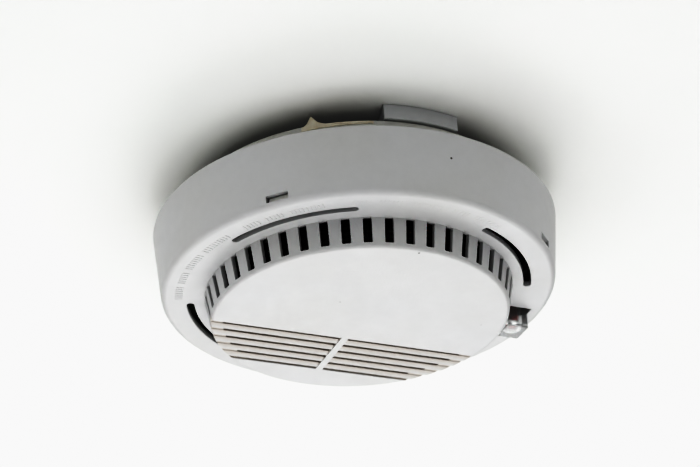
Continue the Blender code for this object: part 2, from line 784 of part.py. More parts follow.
def status_lamp():
    """The red lamp inside the clear button, and its two legs down to the board."""
    dome = arc(LED_R, 0.0, -math.pi / 2, 5, (0.0, LED_TIP_Z + LED_R))
    flange_r, flange_z = LED_R + 0.3, LED_BACK_Z - 0.8
    profile = [(0, LED_BACK_Z), (flange_r, LED_BACK_Z), (flange_r, flange_z), (LED_R, flange_z)]
    lens = lathe(profile + dome[:-1] + [(0, LED_TIP_Z)], 20, (BUTTON_X, 0.0))
    parts = [add_object("lamp_lens", lens, finish("lamp_epoxy", (0.55, 0.03, 0.03), 0.15))]
    half = 0.25
    for index, y in enumerate((-LED_LEG_SPACING / 2, LED_LEG_SPACING / 2), 1):
        leg = box(BUTTON_X - half, BUTTON_X + half, y - half, y + half, LED_BACK_Z + GAP, SEAT_Z)
        tin = finish(f"lamp_leg_{index}_tin", (0.75, 0.75, 0.73), 0.25, 1.0)
        parts.append(add_object(f"lamp_leg_{index}", leg, tin))
    return parts


def chip_pin(x, side):
    """One bent pin that leaves the chip's long side and goes back to the board."""
    waist = SEAT_Z - CHIP_LIFT - 1.0
    edge = CHIP_Y + side * CHIP_HALF_Y
    outline = [
        (edge - side * 1.0, waist - 0.4),
        (edge + side * 0.9, waist - 0.4),
        (edge + side * 0.9, SEAT_Z),
        (edge + side * 0.5, SEAT_Z),
        (edge + side * 0.5, waist),
        (edge - side * 1.0, waist),
    ]
    return prism_x(outline, x - 0.35, x + 0.35)


def alarm_chip():
    """The dual in-line chip that runs the alarm."""
    top = SEAT_Z - CHIP_LIFT
    x0, x1 = CHIP_X - CHIP_HALF_X, CHIP_X + CHIP_HALF_X
    body = box(x0, x1, CHIP_Y - CHIP_HALF_Y, CHIP_Y + CHIP_HALF_Y, top, top - CHIP_T)
    chip = add_object("alarm_chip", body, finish("chip_epoxy", (0.03, 0.03, 0.035), 0.5))
    pins = []
    for i in range(CHIP_PINS):
        x = CHIP_X + (i - (CHIP_PINS - 1) / 2) * CHIP_PITCH
        pins += [chip_pin(x, -1), chip_pin(x, 1)]
    return combine(chip, "UNION", merged(pins))


def electrolytic_capacitor():
    x, y, radius, length = 38.0, 20.0, 4.0, 11.5
    end = SEAT_Z - length
    profile = [
        (0, SEAT_Z),
        (radius - 0.5, SEAT_Z),
        (radius, SEAT_Z - 0.5),
        (radius, SEAT_Z - 1.6),
        (radius - 0.4, SEAT_Z - 2.1),
        (radius, SEAT_Z - 2.6),
        (radius, end + 0.5),
        (radius - 0.5, end),
        (0, end),
    ]
    sleeve = finish("capacitor_sleeve", (0.05, 0.09, 0.22), 0.35)
    return add_object("electrolytic_capacitor", lathe(profile, SMALL_SEGMENTS, (x, y)), sleeve)


def resistor(index, x, y):
    """A resistor along X: its body is thicker at both ends, and its leads bend back to the board."""
    z = SEAT_Z - 1.5
    half, lead_r, lead_x = 3.2, 0.3, 5.2
    body = [(0.0, -half), (0.9, -half), (1.25, -half + 0.4), (1.25, -half + 1.3), (0.95, -half + 1.8)]
    body += [(r, -t) for r, t in reversed(body)]
    bm = lathe(body, TINY_SEGMENTS)
    bmesh.ops.rotate(bm, cent=(0, 0, 0), matrix=Matrix.Rotation(math.pi / 2, 3, "Y"), verts=bm.verts)
    bmesh.ops.translate(bm, vec=(x, y, z), verts=bm.verts)
    tan = finish(f"resistor_{index}_body", (0.70, 0.56, 0.38), 0.45)
    obj = add_object(f"resistor_{index}", bm, tan)
    lead = rod_x(lead_r, y, z, x - lead_x, x + lead_x, 8)
    legs = []
    for side in (-1, 1):
        legs.append(rod(lead_r, x + side * (lead_x - lead_r), y, z - lead_r * 0.8, SEAT_Z, 8))
    return combine(obj, "UNION", lead, *legs)


def ceramic_capacitor():
    """A disc capacitor standing on two legs."""
    x, y, radius = 48.0, 30.0, 3.2
    z = SEAT_Z - radius - 1.2
    disc = rod_x(radius, y, z, x - 1.1, x + 1.1, SMALL_SEGMENTS)
    obj = add_object("ceramic_capacitor", disc, finish("capacitor_ceramic", (0.72, 0.42, 0.14), 0.5))
    bevel(obj, 0.5)
    legs = [rod(0.3, x, y + side * 2.0, z, SEAT_Z, 8) for side in (-1, 1)]
    return combine(obj, "UNION", *legs)


# ---------------------------------------------------------------- battery and wiring


def battery():
    """A nine volt block battery on its back, with its two terminals at +X."""
    z1 = BATTERY_BACK_Z
    z0 = z1 - BATTERY_T
    case = box(BATTERY_X0, BATTERY_X1, BATTERY_Y - BATTERY_HALF_Y, BATTERY_Y + BATTERY_HALF_Y, z0, z1)
    case_obj = add_object("battery_case", case, finish("battery_steel", (0.30, 0.31, 0.34), 0.35, 0.8))
    bevel(case_obj, 1.6)
    middle = (z0 + z1) / 2
    start = BATTERY_X1 + GAP
    end = start + TERMINAL_LENGTH - GAP
    parts = [case_obj]
    for name, side, radius, segments in (("positive", -1, 2.9, SMALL_SEGMENTS), ("negative", 1, 4.2, 6)):
        y = BATTERY_Y + side * TERMINAL_SPACING / 2
        terminal = rod_x(radius, y, middle, start, end, segments)
        nickel = finish(f"terminal_{name}_nickel", (0.72, 0.71, 0.68), 0.25, 1.0)
        terminal_obj = add_object(f"battery_terminal_{name}", terminal, nickel)
        recess = rod_x(radius * 0.62, y, middle, end - 1.6, end + LONG, segments)
        parts.append(combine(terminal_obj, "DIFFERENCE", recess))
    return parts


def battery_contacts():
    """The two contact plates in front of the terminals, and the block that holds them."""
    x = BATTERY_X1 + TERMINAL_LENGTH + GAP
    middle = BATTERY_BACK_Z - BATTERY_T / 2
    half_y, half_z = 4.6, 5.0
    parts = []
    for name, side in (("positive", -1), ("negative", 1)):
        y = BATTERY_Y + side * TERMINAL_SPACING / 2
        plate = box(x, x + CONTACT_T, y - half_y, y + half_y, middle - half_z, middle + half_z)
        metal = finish(f"contact_{name}_nickel", (0.74, 0.72, 0.66), 0.28, 1.0)
        contact = add_object(f"battery_contact_{name}", plate, metal)
        parts.append(bevel(contact, 0.15))
    x += CONTACT_T + GAP
    front, back = middle - 7.0, HOUSING_FLOOR_Z - GAP
    holder = box(x, x + HOLDER_T, BATTERY_Y - 12.0, BATTERY_Y + 12.0, back, front)
    black = finish("holder_plastic", (0.10, 0.10, 0.11), 0.5)
    parts.append(bevel(add_object("contact_holder", holder, black), 0.5))
    return parts


def battery_wire(name, colour, y, end_x):
    """A wire from the contact holder, round the board's straight edge, to just clear of its face."""
    start_x = BATTERY_X1 + TERMINAL_LENGTH + CONTACT_T + HOLDER_T + 3 * GAP + 0.1
    points = [
        (start_x, y, -18.0),
        (start_x + 3.5, y + 1.0, -20.5),
        ((start_x + end_x) / 2 + 2.5, (y - 16.0) / 2, -26.0),
        (end_x, -17.5, -27.0),
        (end_x, -15.8, SEAT_Z - 0.2),
    ]
    return wire(name, points, WIRE_R, finish(f"{name}_sheath", colour, 0.4))


def horn_wire(name, colour, y, end_y):
    """A wire from the horn's side to just clear of the board's face."""
    side_x = HORN_X + HORN_R
    points = [
        (side_x + 1.4, y - 6.0, -33.0),
        (side_x + 4.0, y - 5.0, -35.0),
        (side_x + 7.0, y - 2.0, -31.0),
        (side_x + 7.5, end_y, SEAT_Z - 0.2),
    ]
    return wire(name, points, WIRE_R, finish(f"{name}_sheath", colour, 0.4))


def wiring():
    return [
        battery_wire("battery_wire_positive", RED, -41.0, 47.0),
        battery_wire("battery_wire_negative", BLACK, -31.0, 41.0),
        horn_wire("horn_wire_red", RED, 33.0, 28.0),
        horn_wire("horn_wire_black", BLACK, 37.0, 33.0),
    ]


# ---------------------------------------------------------------- assembly


def main():
    clear_scene()
    mounting_bracket()
    twist = axis_empty("twist_axis", (0.0, 0.0, 0.0))
    cover_axis = axis_empty("cover_axis", (0.0, 0.0, COVER_BACK_Z), twist)
    button_axis = axis_empty("button_axis", (BUTTON_X, 0.0, BUTTON_FACE_Z), cover_axis)
    battery_axis = axis_empty("battery_axis", (BATTERY_X0, BATTERY_Y, BATTERY_BACK_Z), twist)
    leaf_axis = axis_empty("leaf_axis", (LEAF_PIVOT_X, PLUNGER_Y, LEAF_Z), twist)

    fixed = [rear_housing(), circuit_board()]
    fixed += [board_screw(i, x, y) for i, (x, y) in enumerate(BOARD_SCREWS, 1)]
    fixed += chamber() + horn() + status_lamp() + switch_fixed_parts()
    fixed += [alarm_chip(), electrolytic_capacitor(), ceramic_capacitor()]
    fixed += [resistor(i, x, y) for i, (x, y) in enumerate(RESISTORS, 1)]
    fixed += battery_contacts() + wiring()
    adopt(twist, fixed)
    adopt(battery_axis, battery())
    adopt(cover_axis, [front_cover(), insect_screen()])
    adopt(button_axis, [test_button()])
    adopt(leaf_axis, [test_switch_leaf()])


main()
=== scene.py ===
"""Looks for the ceiling smoke detector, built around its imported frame.

Shapes are written in millimetres on the frame's axes, with the ceiling at z = 0, the louvred face down and
the test button at +X. A mesh is scaled to metres when its object is made. The main sizes come from the
frame's own boxes.
"""

import functools
import math
import random

import bmesh
import bpy
from mathutils import Matrix, Quaternion, Vector


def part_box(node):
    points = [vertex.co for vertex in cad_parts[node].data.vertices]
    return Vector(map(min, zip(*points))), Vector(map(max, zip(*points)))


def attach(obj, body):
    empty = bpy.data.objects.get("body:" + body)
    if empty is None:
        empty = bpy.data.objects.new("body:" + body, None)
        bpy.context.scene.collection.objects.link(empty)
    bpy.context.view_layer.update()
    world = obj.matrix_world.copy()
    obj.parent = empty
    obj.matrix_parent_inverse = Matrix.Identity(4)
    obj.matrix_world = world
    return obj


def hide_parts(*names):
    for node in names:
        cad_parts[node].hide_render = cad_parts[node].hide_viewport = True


MM = 0.001

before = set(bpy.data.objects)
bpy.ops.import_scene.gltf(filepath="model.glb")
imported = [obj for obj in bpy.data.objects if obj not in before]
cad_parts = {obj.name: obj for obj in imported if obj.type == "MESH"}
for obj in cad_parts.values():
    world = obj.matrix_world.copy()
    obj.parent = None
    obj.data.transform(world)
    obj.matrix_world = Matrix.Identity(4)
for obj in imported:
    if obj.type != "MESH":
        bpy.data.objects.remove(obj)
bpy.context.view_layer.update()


@functools.cache
def corners(node):
    """The lowest and highest corner of a CAD node, in millimetres."""
    low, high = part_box(node)
    return low / MM, high / MM


def centre_of(node):
    low, high = corners(node)
    return (low + high) / 2


def upright(node):
    """A node's two corners, and the x and y of the upright line through its middle."""
    low, high = corners(node)
    return low, high, (low.x + high.x) / 2, (low.y + high.y) / 2


# ---------------------------------------------------------------- sizes

cover_low, cover_high = corners("front_cover")
housing_low, housing_high = corners("rear_housing")
bracket_low, bracket_high = corners("mounting_bracket")
button_low, button_high = corners("test_button")

# Front cover
COVER_BACK_R = cover_high.x
COVER_BACK_Z = cover_high.z
DISC_Z = cover_low.z
COVER_FACE_Z = DISC_Z + 10.6
COVER_FRONT_R = COVER_BACK_R - 2.6
COVER_WALL = 2.0
RIM_ROUND = 2.3
DISC_T = 1.7
DISC_EDGE = 1.3
DRUM_BASE_R = 55.0
DRUM_FACE_R = 53.0
DRUM_WALL = 1.2
DRUM_SLOTS = 46
DRUM_SLOT_WIDTH = 2.9
DRUM_SLOT_BACK_Z = COVER_FACE_Z - 0.1
DRUM_SLOT_FRONT_Z = DISC_Z + 1.9
ARC_SLOT_R = 60.3
ARC_SLOT_WIDTH = 2.6
ARC_SLOT_HALF_ANGLE = math.radians(21.3)
DIAGONALS = [math.radians(a) for a in (45.0, 135.0, 225.0, 315.0)]
WINDOW_HALF_WIDTH = 4.0
WINDOW_BACK_Z = -35.3
WINDOW_FRONT_Z = -38.0
NOTCH_X = (55.2, 65.15)
NOTCH_HALF_WIDTH = 7.6

# Louvres in the disc
LOUVRE_FIRST_Y = 14.15
LOUVRE_PITCH = 4.85
LOUVRE_GAPS = 6
LOUVRE_GAP = 2.1
LOUVRE_LAST_GAP = 1.2
LOUVRE_R = 48.9
LOUVRE_RIB_X = -0.3
LOUVRE_RIB_HALF = 1.3
BLADE_NEAR_SINK = 0.65
BLADE_FAR_SINK = 0.1
GROOVE_DEPTH = 0.95

# Raised strokes on the rim: plain dashes, in groups, with no letters in them
STROKE_R = (62.9, 65.6)
STROKE_ROOT = 0.4
STROKE_WIDTH = 0.5
STROKE_PITCH = math.radians(1.25)
STROKE_BANDS = ((161.0, 205.0, 0.14), (211.0, 236.0, 0.14), (246.0, 288.0, 0.08))  # from, to, height

# Rear housing
HOUSING_R = 62.1
HOUSING_BACK_Z = housing_high.z
HOUSING_FLOOR_Z = HOUSING_BACK_Z - 2.0
HOUSING_WALL = 2.0
FLANGE_R = 70.3
FLANGE_BACK_Z = -15.5
FLANGE_FRONT_Z = -17.5
SNAP_R = (66.4, 68.0)
SNAP_END_Z = housing_low.z
SNAP_HALF_WIDTH = 3.7
CATCH_R = (67.7, 68.9)
CATCH_Z = (-37.7, -35.5)

# The flake on the housing: where it starts, peaks and ends, in degrees round the ring
FLAKE_START, FLAKE_PEAK, FLAKE_END = -129.0, -125.7, -106.0

# Mounting bracket
BRACKET_R = bracket_high.x
BRACKET_T = 2.0
BLOCK_R = (44.0, -bracket_low.y)
BLOCK_HALF_ANGLE = math.radians(12.7)
BLOCK_DEPTH = 5.7
HOOK_R_IN = 43.0
HOOK_STEM = 2.0
HOOK_TOE = 3.5
HOOK_HALF_WIDTH = 4.5
HOOK_TOP = -8.4
HOOK_END = bracket_low.z
HOOK_ANGLES = [math.radians(a) for a in (75.0, 190.0, 325.0)]
TWIST = math.radians(15.0)
KEYHOLE_X = 30.0
KEYHOLE_HEAD_R = 4.6
KEYHOLE_NECK_R = 2.4
KEYHOLE_RUN = 9.0

# Test button
BUTTON_X = 60.5
BUTTON_HALF_X = 4.4
BUTTON_HALF_Y = 4.75
BUTTON_FACE_Z = button_low.z
BUTTON_BACK_Z = -34.0
BUTTON_BORE_R = 3.3
BUTTON_BORE_END_Z = BUTTON_FACE_Z + 1.5

# Insect screen inside the drum
SCREEN_T = 0.6
SCREEN_COLUMNS = 138
SCREEN_ROWS = 4
SCREEN_HOLE = 0.36  # share of a cell

# Battery cradle
RIB_X = (-32.5, 24.0)
RIB_T = 1.6
RIB_END_Z = -19.0
RIB_CLEARANCE = 0.5
CLIP_X = 12.0
CLIP_HALF_WIDTH = 4.0
CLIP_T = 1.5
CLIP_CATCH = 1.2
CLIP_TIP = 1.6

# Circuit board
BOSS_R = 3.2
BOSS_BORE_R = 1.5
CHIP_PITCH = 2.54
RESISTOR_LEG_X = 4.9
TRACK_WIDTH = 0.8
TRACK_HEIGHT = 0.04
BROWN, BLACK, RED, GOLD = (0.12, 0.04, 0.015), (0.01, 0.01, 0.01), (0.45, 0.02, 0.015), (0.55, 0.36, 0.10)
YELLOW, VIOLET, ORANGE = (0.70, 0.50, 0.03), (0.16, 0.03, 0.25), (0.75, 0.20, 0.02)
RESISTOR_BANDS = [(BROWN, BLACK, YELLOW, GOLD), (YELLOW, VIOLET, ORANGE, GOLD), (RED, RED, BROWN, GOLD)]

# Wires
WIRE_R = 0.65
WIRE_END_Z = corners("circuit_board")[0].z - 0.5
LEAD_R = 0.28

# Stage, in metres
FLOOR_Z = -1.9
WORLD_LIGHT = 0.13
FLOOR_GLOW = 0.95
BACKDROP_GLOW = 0.8
# The tone curve, from linear light to linear light: black, shadows, middle greys, white, and beyond white
TONE_POINTS = [(0, 0), (0.05, 0.003), (0.21, 0.034), (0.52, 0.372), (0.79, 0.742), (1.0, 0.945), (1.75, 1.1)]

# Camera, in metres
CAMERA_TARGET = Vector((-1.67, 0.52, -14.63)) * MM
CAMERA_DISTANCE = 0.7941
CAMERA_AZIMUTH = math.radians(-24.1)
CAMERA_ELEVATION = math.radians(-29.91)
CAMERA_ROLL = math.radians(-3.72)
CAMERA_LENS = 112.43
CAMERA_STOP = 26.0
FOCUS_NEARER = 0.055

ROUND = 368  # steps round the large turned shapes: eight to each drum slot
SMALL_ROUND = 96
TINY_ROUND = 48


# ---------------------------------------------------------------- outlines


def polar(radius, angle):
    return radius * math.cos(angle), radius * math.sin(angle)


def arc(radius, start, end, steps, centre=(0.0, 0.0)):
    """Points along an arc, both ends included."""
    angles = [start + (end - start) * i / steps for i in range(steps + 1)]
    return [(centre[0] + radius * math.cos(a), centre[1] + radius * math.sin(a)) for a in angles]


def fillet(before, corner, after, radius, steps):
    """The arc that replaces one corner of an outline."""
    u = (before - corner).normalized()
    v = (after - corner).normalized()
    half = u.angle(v) / 2
    centre = corner + (u + v).normalized() * (radius / math.sin(half))
    start = corner + u * (radius / math.tan(half)) - centre
    end = corner + v * (radius / math.tan(half)) - centre
    sweep = math.atan2(start.cross(end), start.dot(end))
    points = []
    for i in range(steps + 1):
        angle = sweep * i / steps
        turn = Matrix.Rotation(angle, 2)
        points.append(tuple(centre + turn @ start))
    return points


def rounded(points, steps=5, closed=True):
    """An outline from corners (x, y, radius): a zero radius keeps the corner sharp."""
    spots = [Vector(p[:2]) for p in points]
    outline = []
    for i, (x, y, radius) in enumerate(points):
        at_end = not closed and i in (0, len(points) - 1)
        if radius == 0 or at_end:
            outline.append((x, y))
        else:
            outline += fillet(spots[i - 1], spots[i], spots[(i + 1) % len(spots)], radius, steps)
    return outline


def rectangle(half_x, half_y, radius, centre=(0.0, 0.0), steps=5):
    x, y = centre
    signs = ((-1, -1), (1, -1), (1, 1), (-1, 1))
    return rounded([(x + sx * half_x, y + sy * half_y, radius) for sx, sy in signs], steps)


def circle(radius, centre=(0.0, 0.0), steps=TINY_ROUND):
    return arc(radius, 0.0, math.tau, steps, centre)[:-1]


def ring_sector(r0, r1, start, end, steps, radius=0.0):
    """The outline of a piece of a ring, with its four corners rounded."""
    inner = [(x, y, 0.0) for x, y in arc(r0, start, end, steps)]
    outer = [(x, y, 0.0) for x, y in arc(r1, end, start, steps)]
    points = inner + outer
    if radius == 0:
        return [p[:2] for p in points]
    for i in (0, len(inner) - 1, len(inner), len(points) - 1):
        points[i] = (points[i][0], points[i][1], radius)
    return rounded(points, 4)


def grow(outline, distance):
    """The outline moved outwards, or inwards where the distance is negative."""
    spots = [Vector(p) for p in outline]
    area = sum(a.cross(b) for a, b in zip(spots, spots[1:] + spots[:1]))
    side = 1.0 if area > 0 else -1.0
    grown = []
    for i, spot in enumerate(spots):
        along_in = (spot - spots[i - 1]).normalized()
        along_out = (spots[(i + 1) % len(spots)] - spot).normalized()
        normal_in = Vector((along_in.y, -along_in.x)) * side
        normal_out = Vector((along_out.y, -along_out.x)) * side
        mitre = (normal_in + normal_out).normalized()
        grown.append(tuple(spot + mitre * (distance / max(0.4, mitre.dot(normal_out)))))
    return grown


# ---------------------------------------------------------------- solids


def stack(loops, capped=True):
    """A closed solid through matching loops of points: capped at both ends, or joined into a ring."""
    bm = bmesh.new()
    rings = [[bm.verts.new(p) for p in loop] for loop in loops]
    count = len(rings[0])
    pairs = list(zip(rings, rings[1:]))
    if capped:
        bm.faces.new(rings[0])
        bm.faces.new(rings[-1])
    else:
        pairs.append((rings[-1], rings[0]))
    for low, high in pairs:
        for i in range(count):
            j = (i + 1) % count
            bm.faces.new((low[i], low[j], high[j], high[i]))
    bmesh.ops.recalc_face_normals(bm, faces=bm.faces)
    return bm


def lathe(profile, steps=SMALL_ROUND, centre=(0.0, 0.0), capped=True):
    """The profile (r, z) turned about the upright line through centre."""
    turns = [math.tau * i / steps for i in range(steps)]
    x, y = centre
    return stack([[(x + r * math.cos(a), y + r * math.sin(a), z) for a in turns] for r, z in profile], capped)


def spun(section, steps, centre=(0.0, 0.0)):
    """A turned solid. Its section's points are (r, z, radius), each corner rounded by its radius."""
    return lathe(rounded(section, 4, closed=False), steps, centre)


def block(outline, z0, z1, edge0=0.0, edge1=0.0, steps=3):
    """A prism from z0 up to z1, with its lower edge rounded by edge0 and its upper one by edge1."""
    levels = [(z0, 0.0)]
    if edge0 > 0:
        turns = [math.pi / 2 * i / steps for i in range(steps + 1)]
        levels = [(z0 + edge0 * (1 - math.sin(t)), -edge0 * (1 - math.cos(t))) for t in reversed(turns)]
    if edge1 > 0:
        turns = [math.pi / 2 * i / steps for i in range(steps + 1)]
        levels += [(z1 - edge1 * (1 - math.sin(t)), -edge1 * (1 - math.cos(t))) for t in turns]
    else:
        levels.append((z1, 0.0))
    return stack([[(x, y, z) for x, y in grow(outline, out)] for z, out in levels])


def punch(outline, depth, flare, reach=0.15, steps=3):
    """A cutter through a face at z = 0 that looks to +Z: its walls open out into a rounded edge there."""
    last = math.radians(75.0)
    levels = [(-depth, 0.0)]
    for i in range(steps + 1):
        turn = last * i / steps
        levels.append((flare * (math.sin(turn) - 1.0), flare * (1.0 - math.cos(turn))))
    levels.append((reach, levels[-1][1] + (reach - levels[-1][0]) * math.tan(last)))
    return stack([[(x, y, z) for x, y in grow(outline, out)] for z, out in levels])


def placed(bm, x_axis, y_axis, z_axis, origin=(0.0, 0.0, 0.0)):
    """The mesh with its own axes laid along the given ones."""
    turn = Matrix((x_axis, y_axis, z_axis)).transposed().to_4x4()
    bmesh.ops.transform(bm, matrix=Matrix.Translation(origin) @ turn, verts=bm.verts)
    bmesh.ops.recalc_face_normals(bm, faces=bm.faces)
    return bm


def along_x(bm, origin=(0.0, 0.0, 0.0)):
    """The mesh with its x, y, z laid along Y, Z, X."""
    return placed(bm, (0, 1, 0), (0, 0, 1), (1, 0, 0), origin)


def moved(bm, place):
    return placed(bm, (1, 0, 0), (0, 1, 0), (0, 0, 1), place)


def facing_down(bm, z):
    """The mesh mirrored so that its z = 0 face looks down at height z."""
    return placed(bm, (1, 0, 0), (0, 1, 0), (0, 0, -1), (0, 0, z))


def turned(bm, angle, centre=(0.0, 0.0, 0.0), axis="Z"):
    bmesh.ops.rotate(bm, cent=centre, matrix=Matrix.Rotation(angle, 3, axis), verts=bm.verts)
    return bm


def merged(parts):
    """Several meshes as one."""
    bm = bmesh.new()
    for part in parts:
        piece = bpy.data.meshes.new("piece")
        part.to_mesh(piece)
        part.free()
        bm.from_mesh(piece)
        bpy.data.meshes.remove(piece)
    return bm


def carve(bm, steps):
    """Booleans each (operation, tool mesh) with the mesh, in order."""
    scene = bpy.context.scene.collection
    base = bpy.data.objects.new("base", bpy.data.meshes.new("base"))
    bm.to_mesh(base.data)
    bm.free()
    scene.objects.link(base)
    tools = []
    for operation, tool in steps:
        mesh = bpy.data.meshes.new("tool")
        tool.to_mesh(mesh)
        tool.free()
        helper = bpy.data.objects.new("tool", mesh)
        scene.objects.link(helper)
        tools.append(helper)
        modifier = base.modifiers.new(operation, "BOOLEAN")
        modifier.operation = operation
        modifier.object = helper
    bpy.context.view_layer.update()
    result = bmesh.new()
    result.from_object(base, bpy.context.evaluated_depsgraph_get())
    for helper in [base] + tools:
        mesh = helper.data
        bpy.data.objects.remove(helper)
        bpy.data.meshes.remove(mesh)
    if not result.faces:
        raise RuntimeError("a boolean left nothing of its mesh")
    return result


def add_piece(name, bm, material, nodes=(), body="housing", sharp=32.0):
    """An object in metres that rides on a CAD body and stands for its nodes. The bmesh is freed.

    It has one material slot, which holds the given material.
    """
    bmesh.ops.remove_doubles(bm, verts=bm.verts, dist=1e-4)
    bmesh.ops.dissolve_degenerate(bm, edges=bm.edges, dist=1e-5)
    bmesh.ops.scale(bm, vec=(MM, MM, MM), verts=bm.verts)
    mesh = bpy.data.meshes.new(name)
    bm.to_mesh(mesh)
    bm.free()
    mesh.materials.append(material)
    mesh.shade_smooth()
    mesh.set_sharp_from_angle(angle=math.radians(sharp))
    obj = bpy.data.objects.new(name, mesh)
    bpy.context.scene.collection.objects.link(obj)
    weights = obj.modifiers.new("Shading", "WEIGHTED_NORMAL")
    weights.keep_sharp = True
    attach(obj, body)
    if nodes:
        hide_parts(*nodes)
    return obj


# ---------------------------------------------------------------- materials


class Shader:
    """A material whose nodes are written as nested calls. Lengths are in millimetres."""

    def __init__(self, name):
        self.material = bpy.data.materials.new(name)
        self.material.use_nodes = True
        self.tree = self.material.node_tree
        self.tree.nodes.clear()
        self.place = self.node("ShaderNodeTexCoord").outputs["Object"]

    def node(self, kind, inputs=None, **settings):
        node = self.tree.nodes.new(kind)
        for key, value in settings.items():
            setattr(node, key, value)
        for key, value in (inputs or {}).items():
            self.feed(node.inputs[key], value)
        return node

    def feed(self, socket, value):
        if isinstance(value, bpy.types.NodeSocket):
            self.tree.links.new(value, socket)
        elif socket.type == "RGBA" and len(value) == 3:
            socket.default_value = (*value, 1.0)
        else:
            socket.default_value = value

    def noise(self, size, detail=2.0, stretch=(1.0, 1.0, 1.0), offset=0.0):
        """Noise from 0 to 1 in blobs about size across, drawn out along an axis where stretch is over 1."""
        scale = tuple(1.0 / s for s in stretch)
        inputs = {"Vector": self.place, "Scale": scale, "Location": (offset,) * 3}
        spot = self.node("ShaderNodeMapping", inputs)
        inputs = {"Vector": spot.outputs[0], "Scale": 1.0 / (size * MM), "Detail": detail}
        return self.node("ShaderNodeTexNoise", inputs).outputs[0]

    def along(self, axis):
        """The place along one axis, in millimetres."""
        parts = self.node("ShaderNodeSeparateXYZ", {0: self.place})
        return self.maths("MULTIPLY", parts.outputs[axis], 1.0 / MM)

    def stripe(self, value, start, end, soft=0.05):
        """1 where the value is between start and end."""
        rise = self.span(value, start - soft, start + soft)
        return self.maths("MULTIPLY", rise, self.span(value, end + soft, end - soft))

    def span(self, value, low, high, to_low=0.0, to_high=1.0):
        inputs = {"Value": value, "From Min": low, "From Max": high, "To Min": to_low, "To Max": to_high}
        return self.node("ShaderNodeMapRange", inputs).outputs[0]

    def maths(self, operation, a, b=0.0):
        node = self.node("ShaderNodeMath", operation=operation)
        self.feed(node.inputs[0], a)
        self.feed(node.inputs[1], b)
        return node.outputs[0]

    def mix(self, factor, a, b, blend="MIX"):
        node = self.node("ShaderNodeMix", data_type="RGBA", blend_type=blend)
        self.feed(node.inputs[0], factor)
        self.feed(node.inputs[6], a)
        self.feed(node.inputs[7], b)
        return node.outputs[2]

    def bump(self, height, depth, normal=None):
        """A bump that is depth deep for a height of 1."""
        inputs = {"Height": height, "Distance": depth * MM, "Strength": 1.0}
        if normal:
            inputs["Normal"] = normal
        return self.node("ShaderNodeBump", inputs).outputs[0]

    def edges(self, radius):
        """1 on edges sharper than about the radius, 0 on flat faces."""
        soft = self.node("ShaderNodeBevel", {"Radius": radius * MM}, samples=4).outputs[0]
        plain = self.node("ShaderNodeNewGeometry").outputs["Normal"]
        product = self.node("ShaderNodeVectorMath", {0: soft, 1: plain}, operation="DOT_PRODUCT")
        return self.span(product.outputs["Value"], 0.99, 0.80)

    def crevices(self, reach):
        """1 deep in corners, 0 in the open."""
        inputs = {"Distance": reach * MM}
        shade = self.node("ShaderNodeAmbientOcclusion", inputs, samples=4, only_local=True).outputs["AO"]
        return self.span(shade, 0.75, 0.15)

    def spot(self, centre, radius):
        """1 inside a small irregular spot, 0 outside."""
        ends = {0: self.place, 1: Vector(centre) * MM}
        where = self.node("ShaderNodeVectorMath", ends, operation="DISTANCE")
        ragged = self.maths("MULTIPLY", where.outputs["Value"], self.span(self.noise(0.4), 0, 1, 0.6, 1.4))
        return self.span(ragged, radius * MM, radius * MM * 0.6)

    def finish(self, inputs):
        shader = self.node("ShaderNodeBsdfPrincipled", inputs)
        out = self.node("ShaderNodeOutputMaterial")
        self.tree.links.new(shader.outputs[0], out.inputs["Surface"])
        return self.material


def plastic(name, colour, aged, roughness=0.45, grain=0.4, relief=0.012, marks=(), sunk_dust_and_shade_above=None):
    """Moulded plastic: a fine grain, faint flow marks, some yellowing, dust and painted shade in corners,
    edges rubbed smooth with a painted highlight.

    Given a height, dust and painted shade also darken faces sunk up to 2 mm into the face there, in the
    louvres' half, most on the deeper parts.
    """
    s = Shader(name)
    age = s.span(s.noise(38.0, 3.0), 0.35, 0.75)
    tone = s.mix(s.maths("MULTIPLY", age, 0.55), colour, aged)
    mottle = s.span(s.noise(3.5, 4.0, offset=3.1), 0.3, 0.7, 0.99, 1.008)
    shade = s.node("ShaderNodeCombineColor", {0: mottle, 1: mottle, 2: mottle}).outputs[0]
    tone = s.mix(1.0, tone, shade, "MULTIPLY")
    # dust and painted shade: the occlusion mask darkens corners where shade falls, broken up by noise
    corner_dust_and_shade = s.maths("MULTIPLY", s.crevices(2.2), s.span(s.noise(1.6, 4.0), 0.3, 0.7, 0.25, 0.6))
    tone = s.mix(corner_dust_and_shade, tone, tuple(c * 0.62 for c in aged))
    if sunk_dust_and_shade_above is not None:
        # dust and painted shade on the sunk blade faces: darker where they sink deeper, towards the gaps
        sunk = s.span(s.along("Z"), sunk_dust_and_shade_above + 0.12, sunk_dust_and_shade_above + 0.6)
        shallow = s.span(s.along("Z"), sunk_dust_and_shade_above + 2.0, sunk_dust_and_shade_above + 1.4)
        far_side = s.span(s.along("Y"), 12.5, 13.5)
        louvre_dust_and_shade = s.maths("MULTIPLY", s.maths("MULTIPLY", sunk, shallow), far_side)
        tone = s.mix(s.maths("MULTIPLY", louvre_dust_and_shade, 0.7), tone, (0.52, 0.475, 0.43))
    for centre, radius, strength in marks:
        tone = s.mix(s.maths("MULTIPLY", s.spot(centre, radius), strength), tone, (0.05, 0.045, 0.04))
    # edges: rubbed smoother, and lightened in colour as a painted highlight
    edge_mask = s.edges(0.35)
    tone = s.mix(s.maths("MULTIPLY", edge_mask, 0.35), tone, tuple(min(1.0, c * 1.08) for c in colour))
    rough = s.span(s.noise(6.0, 3.0), 0.3, 0.7, roughness - 0.05, roughness + 0.07)
    rough = s.maths("SUBTRACT", rough, s.maths("MULTIPLY", edge_mask, 0.12))
    flow = s.bump(s.noise(14.0, 2.0, (1.0, 2.2, 1.0)), 0.05)
    fine = s.bump(s.noise(grain, 3.0), relief, flow)
    return s.finish({"Base Color": tone, "Roughness": rough, "Normal": fine, "IOR": 1.5})


